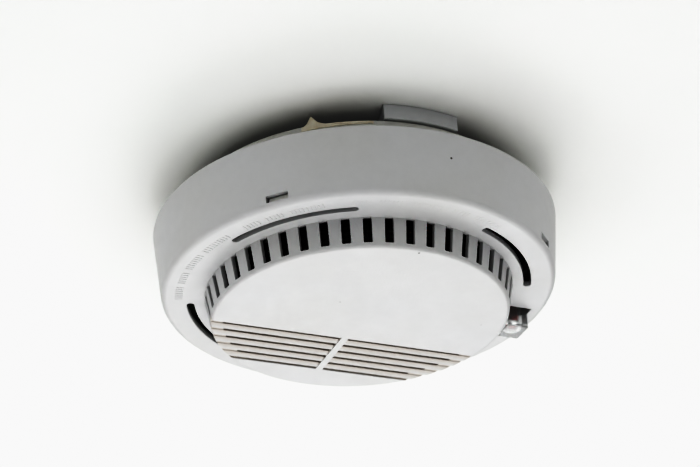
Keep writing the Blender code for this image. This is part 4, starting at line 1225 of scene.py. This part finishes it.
def board_plate():
    low, high = corners("circuit_board")
    cut = math.asin(low.y / high.x)
    plate = block(arc(high.x, cut, math.pi - cut, 150), low.z, high.z, 0.12, 0.12, 2)
    screws = [centre_of(f"board_screw_{index}") for index in (1, 2, 3)]
    holes = [lathe([(1.7, low.z - 1.0), (1.7, high.z + 1.0)], TINY_ROUND, (s.x, s.y)) for s in screws]
    return carve(plate, [("DIFFERENCE", merged(holes))])


def board_tracks(places):
    """A track from each pad: it leaves straight, turns 45 degrees and ends in a small round pad."""
    low, high = corners("circuit_board")
    z0, z1 = low.z - TRACK_HEIGHT, low.z + 0.1
    draw = random.Random(11)
    tracks = []
    for x, y in places:
        side = 1.0 if y < low.y + 12.0 or draw.random() < 0.5 else -1.0
        inward = -1.0 if x > 0 else 1.0
        first, second = draw.uniform(3.0, 7.0), draw.uniform(2.0, 6.0)
        end = (x + inward * second, y + side * (first + second))
        if math.hypot(*end) < high.x - 3.0 and end[1] > low.y + 2.0:
            tracks.append(ribbon([(x, y), (x, y + side * first), end], TRACK_WIDTH, z0, z1))
            tracks.append(lathe([(0.9, z0), (0.9, z1)], 24, end))
    cut = math.asin(low.y / high.x) + 0.08
    tracks.append(ribbon(arc(high.x - 1.6, cut, math.pi - cut, 120), 1.6, z0, z1))
    return merged(tracks)


def board_marks():
    """Printed outlines round some of the components, with no lettering."""
    face = corners("circuit_board")[0].z
    z0, z1 = face - 0.06, face + 0.05
    marks = []
    for node, margin in (("chamber_base", 1.0), ("horn_case", 1.0), ("electrolytic_capacitor", 0.8)):
        middle = centre_of(node)
        radius = corners(node)[1].x - middle.x + margin
        ring = [(radius - 0.25, z0), (radius, z0), (radius, z1), (radius - 0.25, z1)]
        marks.append(lathe(ring, SMALL_ROUND, (middle.x, middle.y), capped=False))
    for index in (1, 2, 3):
        middle = centre_of(f"resistor_{index}")
        loop = rectangle(3.8, 1.9, 0.0, (middle.x, middle.y), 1)
        for start, end in zip(loop, loop[1:] + loop[:1]):
            if start != end:
                marks.append(ribbon([start, end], 0.25, z0, z1))
    return merged(marks)


def build_board():
    face = corners("circuit_board")[0].z
    places = solder_places()
    dome = ((1.15, -0.05), (1.12, 0.12), (0.9, 0.35), (0.6, 0.55), (0.35, 0.75))
    joints = merged([lathe([(r, face - depth) for r, depth in dome], 24, place) for place in places])
    add_piece("board", board_plate(), board_laminate, ["circuit_board"])
    add_piece("board_tracks", board_tracks(places), track_mask)
    add_piece("solder_joints", joints, tinned_metal)
    add_piece("board_print", board_marks(), white_print)


def build_screws():
    for index in (1, 2, 3):
        node = f"board_screw_{index}"
        low, high, x, y = upright(node)
        head_r = high.x - x
        seat = low.z + 1.8
        section = [
            (0.3, high.z, 0.0),
            (1.2, high.z - 0.9, 0.1),
            (1.2, seat, 0.05),
            (head_r, seat, 0.15),
            (head_r, seat - 0.9, 0.5),
            (head_r * 0.62, low.z, 0.5),
            (0.5, low.z, 0.0),
        ]
        head = spun(section, TINY_ROUND, (x, y))
        turn = math.radians(17.0 + 31.0 * index)
        slots = []
        for quarter in (0.0, math.pi / 2):
            slot = block(rectangle(1.6, 0.36, 0.1, (x, y)), low.z - 1.0, low.z + 0.95)
            slots.append(("DIFFERENCE", turned(slot, turn + quarter, (x, y, 0.0))))
        add_piece(f"screw_{index}", carve(head, slots), steel, [node])


# ---------------------------------------------------------------- sensing chamber and horn


def build_chamber_seat(x, y):
    low, high = corners("chamber_base")
    radius = high.x - x
    section = [
        (2.0, high.z, 0.0),
        (radius - 0.8, high.z, 0.2),
        (radius, high.z - 0.8, 0.3),
        (radius, low.z, 0.35),
        (radius - 1.2, low.z, 0.2),
        (radius - 1.2, low.z + 0.2, 0.0),
        (2.0, low.z + 0.2, 0.0),
    ]
    base = spun(section, SMALL_ROUND, (x, y))
    add_piece("chamber_seat", base, black_plastic, ["chamber_base"])


def build_chamber_shell(x, y):
    """A tinned can with a ring of openings in its wall and six small holes in its face."""
    low, high = corners("chamber_can")
    radius = high.x - x
    section = [
        (5.0, low.z + 0.5, 0.0),
        (6.0, low.z + 0.5, 0.3),
        (6.6, low.z, 0.3),
        (radius, low.z, 1.4),
        (radius, high.z, 0.15),
        (radius - 0.7, high.z, 0.15),
        (radius - 0.7, low.z + 0.7, 0.9),
        (6.9, low.z + 0.7, 0.3),
        (6.3, low.z + 1.2, 0.3),
        (5.0, low.z + 1.2, 0.0),
    ]
    can = spun(section, 144, (x, y))
    openings = []
    for i in range(9):
        opening = along_x(block(rectangle(2.0, 3.0, 0.9, (0.0, low.z + 6.0)), radius - 3.0, radius + 2.0))
        openings.append(moved(turned(opening, math.tau * (i + 0.5) / 9), (x, y, 0)))
    hole = [(0.8, low.z - 1.0), (0.8, low.z + 3.0)]
    holes = [lathe(hole, 24, (x + a, y + b)) for a, b in circle(3.2, steps=6)]
    can = carve(can, [("DIFFERENCE", merged(openings)), ("DIFFERENCE", merged(holes))])
    add_piece("chamber_shell", can, can_metal, ["chamber_can"])


def build_electrode(x, y):
    low, high = corners("chamber_electrode")
    radius = high.x - x
    section = [
        (0.3, high.z, 0.0),
        (1.5, high.z, 0.3),
        (1.5, low.z + 1.0, 0.5),
        (radius, low.z + 1.0, 0.3),
        (radius, low.z, 0.3),
        (3.0, low.z, 0.2),
        (2.6, low.z + 0.3, 0.2),
        (0.3, low.z + 0.3, 0.0),
    ]
    plate = spun(section, SMALL_ROUND, (x, y))
    add_piece("electrode_plate", plate, steel, ["chamber_electrode"])


def build_chamber():
    x, y = upright("chamber_base")[2:]
    build_chamber_seat(x, y)
    build_chamber_shell(x, y)
    build_electrode(x, y)


def thin_disc(radius, z0, z1, edge, centre):
    section = [(0.5, z0, 0.0), (radius, z0, edge), (radius, z1, edge), (0.5, z1, 0.0)]
    return lathe(rounded(section, 3, closed=False), SMALL_ROUND, centre)


def build_horn():
    low, high, x, y = upright("horn_case")
    radius = high.x - x
    brass_low, brass_high = corners("piezo_plate")
    ledge = brass_low.z - 0.3
    section = [
        (radius, high.z, 0.2),
        (radius, high.z - 1.5, 0.2),
        (radius - 0.5, high.z - 1.9, 0.2),
        (radius - 0.5, low.z + 1.0, 0.9),
        (radius - 3.0, low.z, 0.5),
        (5.6, low.z, 0.2),
        (5.2, low.z, 0.0),
        (4.0, low.z + 0.4, 0.3),
        (4.0, low.z + 1.5, 0.2),
        (radius - 3.5, low.z + 1.5, 0.6),
        (radius - 3.5, ledge, 0.15),
        (radius - 1.5, ledge, 0.15),
        (radius - 1.5, high.z, 0.15),
    ]
    case = lathe(rounded(section, 4), SMALL_ROUND, (x, y), capped=False)
    ribs = []
    for i in range(24):
        rib = block(rectangle(0.45, 0.4, 0.15, (radius - 0.45, 0.0)), low.z + 1.6, high.z - 1.0)
        ribs.append(moved(turned(rib, math.tau * i / 24), (x, y, 0)))
    case = carve(case, [("UNION", merged(ribs))])
    add_piece("horn_body", case, black_plastic, ["horn_case"])
    brass = thin_disc(brass_high.x - x, brass_low.z, brass_high.z, 0.1, (x, y))
    add_piece("piezo_brass_disc", brass, piezo_brass, ["piezo_plate"])
    low, high = corners("piezo_ceramic")
    disc = thin_disc(high.x - x, low.z, high.z, 0.12, (x, y))
    add_piece("piezo_ceramic_disc", disc, ceramic, ["piezo_ceramic"])


# ---------------------------------------------------------------- lamp and switch


def build_lamp():
    low, high, x, y = upright("lamp_lens")
    flange = high.x - x
    radius = flange - 0.3
    dome = arc(radius, 0.0, -math.pi / 2, 14, (0.0, low.z + radius))[:-1]
    step = high.z - 0.8
    section = [(0.4, high.z, 0.0), (flange, high.z, 0.1), (flange, step, 0.1), (radius, step, 0.1)]
    profile = rounded(section, 3, closed=False) + dome + [(0.05, low.z)]
    lens = lathe(profile, TINY_ROUND, (x, y))
    add_piece("lamp_dome", lens, lamp_epoxy, ["lamp_lens"])
    for index in (1, 2):
        low, high, x, y = upright(f"lamp_leg_{index}")
        half = (high.x - low.x) / 2
        leg = block(rectangle(half, half, 0.08, (x, y), 3), low.z, high.z, 0.05, 0.05, 2)
        add_piece(f"lamp_wire_{index}", leg, tinned_metal, [f"lamp_leg_{index}"])


def build_switch():
    low, high = corners("switch_post")
    middle = (low + high) / 2
    outline = rectangle((high.x - low.x) / 2, (high.y - low.y) / 2, 0.25, (middle.x, middle.y))
    post = block(outline, low.z, high.z, 0.25, 0.1)
    add_piece("leaf_post", post, tinned_metal, ["switch_post"])
    low, high, x, y = upright("switch_contact_stud")
    radius = high.x - x
    shank, step = radius * 0.7, low.z + 0.9
    section = [(0.2, high.z, 0.0), (shank, high.z, 0.0), (shank, step, 0.15), (radius, step, 0.15)]
    section += [(radius, low.z, 0.5), (0.2, low.z, 0.0)]
    stud = spun(section, TINY_ROUND, (x, y))
    add_piece("contact_stud", stud, tinned_metal, ["switch_contact_stud"])
    low, high = corners("test_switch_leaf")
    y = (low.y + high.y) / 2
    half = (high.y - low.y) / 2
    outline = [
        (low.x, y - half, 0.2),
        (high.x - 5.0, y - half, 1.0),
        (high.x, y - half * 0.7, 0.8),
        (high.x, y + half * 0.7, 0.8),
        (high.x - 5.0, y + half, 1.0),
        (low.x, y + half, 0.2),
    ]
    leaf = block(rounded(outline), low.z, high.z, 0.08, 0.08, 2)
    slit = block(rectangle(3.5, 0.5, 0.45, (low.x + 6.0, y)), low.z - 1.0, high.z + 1.0)
    leaf = carve(leaf, [("DIFFERENCE", slit)])
    add_piece("spring_leaf", leaf, spring_bronze, ["test_switch_leaf"], body="switch_leaf")


# ---------------------------------------------------------------- small components


def build_chip():
    low, high, x, y = upright("alarm_chip")
    top = high.z - 0.5
    half_y = (high.y - low.y) / 2 - 0.9
    half_x = (high.x - low.x) / 2
    body = block(rectangle(half_x, half_y, 0.4, (x, y)), low.z, top, 0.25, 0.25)
    notch = lathe([(0.9, low.z - 1.0), (0.9, low.z + 0.4)], 32, (x - half_x, y))
    dimple = lathe([(0.6, low.z - 1.0), (0.6, low.z + 0.2)], 32, (x - half_x + 1.6, y - half_y + 1.3))
    body = carve(body, [("DIFFERENCE", notch), ("DIFFERENCE", dimple)])
    add_piece("chip_body", body, chip_epoxy, ["alarm_chip"])
    waist = top - 1.2
    pins = []
    for px, py in chip_pin_places():
        side = 1 if py > y else -1
        edge = y + side * half_y
        outline = [
            (edge - side * 0.3, waist - 0.2, 0.0),
            (edge + side * 0.9, waist - 0.2, 0.25),
            (edge + side * 0.9, high.z, 0.0),
            (edge + side * 0.5, high.z, 0.0),
            (edge + side * 0.5, waist + 0.2, 0.1),
            (edge - side * 0.3, waist + 0.2, 0.0),
        ]
        pins.append(along_x(block(rounded(outline), px - 0.35, px + 0.35, 0.06, 0.06, 2)))
    add_piece("chip_pins", merged(pins), tinned_metal)


def build_can_capacitor():
    low, high, x, y = upright("electrolytic_capacitor")
    radius = high.x - x
    section = [
        (0.5, high.z, 0.0),
        (radius, high.z, 0.4),
        (radius, high.z - 1.6, 0.3),
        (radius - 0.4, high.z - 2.1, 0.3),
        (radius, high.z - 2.6, 0.3),
        (radius, low.z, 0.5),
        (radius - 0.8, low.z, 0.15),
        (radius - 0.9, low.z + 0.35, 0.0),
        (0.5, low.z + 0.35, 0.0),
    ]
    sleeve = spun(section, SMALL_ROUND, (x, y))
    add_piece("capacitor_can", sleeve, capacitor_sleeve, ["electrolytic_capacitor"])
    disc = lathe([(radius - 1.0, low.z + 0.5), (radius - 1.0, low.z + 0.1)], TINY_ROUND, (x, y))
    scores = []
    for angle in (0.0, math.radians(60.0), math.radians(120.0)):
        score = block(rectangle(radius, 0.12, 0.0, (x, y), 1), low.z - 0.5, low.z + 0.2)
        scores.append(("DIFFERENCE", turned(score, angle, (x, y, 0.0))))
    add_piece("capacitor_end", carve(disc, scores), can_metal)


def build_disc_capacitor():
    low, high, x, y = upright("ceramic_capacitor")
    radius = (high.y - low.y) / 2
    half = (high.x - low.x) / 2
    shoulder = radius * 0.75
    section = [(0.3, -half * 0.8, 0.0), (shoulder, -half, 0.6), (radius, 0.0, 0.7)]
    section += [(shoulder, half, 0.6), (0.3, half * 0.8, 0.0)]
    disc = along_x(lathe(rounded(section, 5, closed=False), TINY_ROUND), (x, y, low.z + radius))
    add_piece("disc_capacitor", disc, capacitor_ceramic, ["ceramic_capacitor"])
    legs = [tube([(x, y + out, low.z + radius), (x, y + out, high.z)], LEAD_R) for out in (-2.0, 2.0)]
    add_piece("disc_capacitor_legs", merged(legs), tinned_metal)


def build_resistors():
    for index in (1, 2, 3):
        node = f"resistor_{index}"
        low, high = corners(node)
        middle = (low + high) / 2
        z = low.z + 1.25
        half = 3.2
        ends = [(0.3, -half, 0.0), (0.95, -half, 0.15), (1.25, -half + 0.5, 0.3)]
        ends += [(1.25, -half + 1.5, 0.3), (0.97, -half + 2.0, 0.3)]
        section = rounded(ends + [(r, -t, c) for r, t, c in reversed(ends)], 4, closed=False)
        body = along_x(lathe(section, 40), (middle.x, middle.y, z))
        coat = banded(f"resistor_coat_{index}", middle.x, RESISTOR_BANDS[index - 1])
        add_piece(f"resistor_body_{index}", body, coat, [node])
        leads = []
        for side in (-1, 1):
            out = middle.x + side * RESISTOR_LEG_X
            path = [(middle.x + side * (half - 0.2), middle.y, z), (out - side * 0.7, middle.y, z)]
            path += [(out - side * 0.1, middle.y, z + 0.5), (out, middle.y, high.z)]
            leads.append(tube(path, LEAD_R))
        add_piece(f"resistor_leads_{index}", merged(leads), tinned_metal)


# ---------------------------------------------------------------- battery


def build_battery_case():
    low, high = corners("battery_case")
    middle = (low + high) / 2
    half_y, half_z = (high.y - low.y) / 2, (high.z - low.z) / 2
    case = along_x(block(rectangle(half_y, half_z, 2.4, (middle.y, middle.z), 8), low.x, high.x, 0.7, 0.7, 5))
    dish = rectangle(half_y - 1.3, half_z - 1.3, 1.6, (middle.y, middle.z), 8)
    steps = [
        ("DIFFERENCE", along_x(block(dish, high.x - 0.5, high.x + 2.0, 0.15))),
        ("DIFFERENCE", along_x(block(dish, low.x - 2.0, low.x + 0.5, 0.0, 0.15))),
    ]
    add_piece("battery_shell", carve(case, steps), battery_jacket, ["battery_case"], body="battery")


def build_battery_stud():
    low, high = corners("battery_terminal_positive")
    middle = (low + high) / 2
    radius = (high.y - low.y) / 2
    length = high.x - low.x
    section = [
        (0.2, -0.9, 0.0),
        (radius, -0.9, 0.1),
        (radius, 0.4, 0.15),
        (radius * 0.86, 0.8, 0.3),
        (radius * 0.86, length * 0.6, 0.3),
        (radius, length * 0.8, 0.3),
        (radius * 0.9, length, 0.3),
        (radius * 0.66, length, 0.2),
        (radius * 0.6, length - 1.5, 0.3),
        (0.2, length - 1.5, 0.0),
    ]
    stud = along_x(spun(section, TINY_ROUND), (low.x, middle.y, middle.z))
    add_piece("snap_stud", stud, nickel, ["battery_terminal_positive"], body="battery")


def build_battery_socket():
    """The cup, as long as the stud, with six slits that let it spring open."""
    stud_low, stud_high = corners("battery_terminal_positive")
    length = stud_high.x - stud_low.x
    low, high = corners("battery_terminal_negative")
    middle = (low + high) / 2
    radius = (high.z - low.z) / 2
    section = [
        (0.2, -0.9, 0.0),
        (radius * 0.95, -0.9, 0.1),
        (radius * 0.86, 0.6, 0.3),
        (radius * 0.92, length * 0.7, 0.3),
        (radius, length, 0.12),
        (radius * 0.86, length, 0.12),
        (radius * 0.78, length * 0.6, 0.3),
        (radius * 0.74, 0.5, 0.3),
        (0.2, 0.4, 0.0),
    ]
    cup = spun(section, TINY_ROUND)
    slits = []
    for i in range(6):
        slit = block(rectangle(2.0, 0.3, 0.1, (radius, 0.0)), length * 0.35, length + 1.0)
        slits.append(turned(slit, math.tau * (i + 0.5) / 6))
    cup = along_x(carve(cup, [("DIFFERENCE", merged(slits))]), (low.x, middle.y, middle.z))
    add_piece("snap_socket", cup, nickel, ["battery_terminal_negative"], body="battery")


def build_contacts():
    for name in ("positive", "negative"):
        node = f"battery_contact_{name}"
        low, high = corners(node)
        middle = (low + high) / 2
        outline = rectangle((high.y - low.y) / 2, (high.z - low.z) / 2, 1.2, (middle.y, middle.z))
        plate = along_x(block(outline, low.x, high.x, 0.12, 0.12))
        hole = lathe([(1.2, low.x - 1.0), (1.2, high.x + 1.0)], TINY_ROUND)
        plate = carve(plate, [("DIFFERENCE", along_x(hole, (0.0, middle.y, middle.z)))])
        add_piece(f"contact_plate_{name}", plate, nickel, [node])
    low, high = corners("contact_holder")
    middle = (low + high) / 2
    outline = rectangle((high.y - low.y) / 2, (high.z - low.z) / 2, 1.0, (middle.y, middle.z))
    holder = along_x(block(outline, low.x, high.x, 0.3, 0.3))
    pocket = rectangle(3.6, 3.4, 0.6)
    steps = []
    for name in ("positive", "negative"):
        spot = centre_of(f"battery_contact_{name}")
        recess = block([(y + spot.y, z + spot.z) for y, z in pocket], high.x - 0.8, high.x + 1.0)
        steps.append(("DIFFERENCE", along_x(recess)))
    add_piece("holder_block", carve(holder, steps), black_plastic, ["contact_holder"])


# ---------------------------------------------------------------- stage, lights, camera


def above_ceiling(tree):
    """1 where the camera looks from above the ceiling, 0 from below it."""
    convert = {"vector_type": "POINT", "convert_from": "CAMERA", "convert_to": "WORLD"}
    eye = tree.nodes.new("ShaderNodeVectorTransform")
    for key, value in convert.items():
        setattr(eye, key, value)
    eye.inputs[0].default_value = (0.0, 0.0, 0.0)
    height = tree.nodes.new("ShaderNodeSeparateXYZ")
    tree.links.new(eye.outputs[0], height.inputs[0])
    test = tree.nodes.new("ShaderNodeMath")
    test.operation = "GREATER_THAN"
    tree.links.new(height.outputs[2], test.inputs[0])
    test.inputs[1].default_value = 0.0
    return test.outputs[0]


def seen_from_above(tree, otherwise, glow):
    """A strength: glow to a camera above the ceiling that sees the surface, otherwise to anything else."""
    rays = tree.nodes.new("ShaderNodeLightPath")
    both = tree.nodes.new("ShaderNodeMath")
    both.operation = "MULTIPLY"
    tree.links.new(above_ceiling(tree), both.inputs[0])
    tree.links.new(rays.outputs["Is Camera Ray"], both.inputs[1])
    blend = tree.nodes.new("ShaderNodeMapRange")
    tree.links.new(both.outputs[0], blend.inputs["Value"])
    blend.inputs["To Min"].default_value = otherwise
    blend.inputs["To Max"].default_value = glow
    return blend.outputs["Result"]


def sheet(name, half, z, material):
    bm = bmesh.new()
    bmesh.ops.create_grid(bm, x_segments=2, y_segments=2, size=half)
    mesh = bpy.data.meshes.new(name)
    bm.to_mesh(mesh)
    bm.free()
    obj = bpy.data.objects.new(name, mesh)
    obj.location.z = z
    mesh.materials.append(material)
    bpy.context.scene.collection.objects.link(obj)
    return obj


def ceiling_paint():
    """Matt paint, which the camera sees through when it is above the ceiling."""
    s = Shader("ceiling_paint")
    tone = s.mix(s.span(s.noise(120.0, 2.0), 0.35, 0.65), (0.93, 0.94, 0.925), (0.95, 0.95, 0.94))
    relief = s.bump(s.noise(2.5, 3.0), 0.02)
    matt = s.node("ShaderNodeBsdfDiffuse", {"Color": tone, "Normal": relief})
    gone = s.node("ShaderNodeBsdfTransparent")
    choice = s.node("ShaderNodeMixShader", {0: above_ceiling(s.tree)})
    s.tree.links.new(matt.outputs[0], choice.inputs[1])
    s.tree.links.new(gone.outputs[0], choice.inputs[2])
    out = s.node("ShaderNodeOutputMaterial")
    s.tree.links.new(choice.outputs[0], out.inputs["Surface"])
    return s.material


def area_light(name, place, target, size, power, from_above=False):
    """A round soft light that the camera doesn't see. One from_above is on only for a camera up there."""
    light = bpy.data.lights.new(name, "AREA")
    light.shape = "DISK"
    light.size = size
    light.energy = power
    obj = bpy.data.objects.new(name, light)
    obj.location = place
    obj.rotation_mode = "QUATERNION"
    obj.rotation_quaternion = (Vector(target) - Vector(place)).to_track_quat("-Z", "Y")
    obj.visible_camera = False
    bpy.context.scene.collection.objects.link(obj)
    if from_above:
        light.use_nodes = True
        tree = light.node_tree
        glow = tree.nodes["Emission"]
        tree.links.new(above_ceiling(tree), glow.inputs["Strength"])
    return obj


def build_stage():
    sheet("ceiling", 6.0, 0.0002, ceiling_paint())
    s = Shader("floor_paint")
    tone = s.mix(s.span(s.noise(400.0, 3.0), 0.35, 0.65), (0.80, 0.80, 0.79), (0.84, 0.84, 0.83))
    lit_floor = seen_from_above(s.tree, 0.0, FLOOR_GLOW)
    inputs = {"Base Color": tone, "Roughness": 0.7, "Emission Color": tone, "Emission Strength": lit_floor}
    sheet("floor", 30.0, FLOOR_Z, s.finish(inputs))
    world = bpy.data.worlds.new("studio")
    world.use_nodes = True
    bpy.context.scene.world = world
    back = world.node_tree.nodes["Background"]
    back.inputs["Color"].default_value = (0.94, 0.97, 1.0, 1.0)
    glow = seen_from_above(world.node_tree, WORLD_LIGHT, BACKDROP_GLOW)
    world.node_tree.links.new(glow, back.inputs["Strength"])


def build_lights():
    centre, below, back = (0.0, 0.0, 0.0), (0.0, 0.0, -0.9), (0.0, 0.0, -0.02)
    area_light("near_soft", below, centre, 1.04, 2.0)
    area_light("wide_soft", below, centre, 2.15, 10.8)
    area_light("room", below, centre, 4.9, 25.0)
    area_light("far_side", (0.408, 0.913, -0.8), centre, 0.7, 3.4)
    area_light("left_side", (-0.913, 0.408, -0.8), centre, 0.7, 1.5)
    area_light("top_key", (-0.5, -0.6, 0.9), back, 0.7, 15.0, from_above=True)
    area_light("top_fill", (0.8, 0.5, 0.8), back, 0.9, 11.0, from_above=True)


def build_camera():
    data = bpy.data.cameras.new("camera")
    camera = bpy.data.objects.new("camera", data)
    bpy.context.scene.collection.objects.link(camera)
    level = math.cos(CAMERA_ELEVATION)
    across, along = math.sin(CAMERA_AZIMUTH) * level, -math.cos(CAMERA_AZIMUTH) * level
    back = Vector((across, along, math.sin(CAMERA_ELEVATION)))
    camera.location = CAMERA_TARGET + back * CAMERA_DISTANCE
    camera.rotation_mode = "QUATERNION"
    roll = Quaternion((0.0, 0.0, 1.0), CAMERA_ROLL)
    camera.rotation_quaternion = (-back).to_track_quat("-Z", "Y") @ roll
    data.lens = CAMERA_LENS
    data.sensor_width = 36.0
    data.dof.use_dof = True
    focus = bpy.data.objects.new("focus_point", None)
    focus.location = CAMERA_TARGET + back * FOCUS_NEARER
    bpy.context.scene.collection.objects.link(focus)
    data.dof.focus_object = focus
    data.dof.aperture_fstop = CAMERA_STOP
    data.clip_start = 0.02
    data.clip_end = 100.0
    bpy.context.scene.camera = camera


def build_tone():
    """A gentle S-curve on linear light: deep shadows go darker and the brightest whites roll off."""
    view = bpy.context.scene.view_settings
    view.view_transform = "Standard"
    view.use_curve_mapping = True
    mapping = view.curve_mapping
    mapping.use_clip = False
    mapping.extend = "EXTRAPOLATED"
    curve = mapping.curves[3].points
    ends = TONE_POINTS[0], TONE_POINTS[-1]
    for point, spot in zip(curve, ends):
        point.location = spot
    for spot in TONE_POINTS[1:-1]:
        curve.new(*spot)
    mapping.update()


# ---------------------------------------------------------------- assembly

build_cover()
build_screen()
build_housing()
build_bracket()
build_flake()
build_button()
build_board()
build_screws()
build_chamber()
build_horn()
build_lamp()
build_switch()
build_chip()
build_can_capacitor()
build_disc_capacitor()
build_resistors()
build_battery_case()
build_battery_stud()
build_battery_socket()
build_contacts()
build_wires()
build_stage()
build_lights()
build_camera()
build_tone()
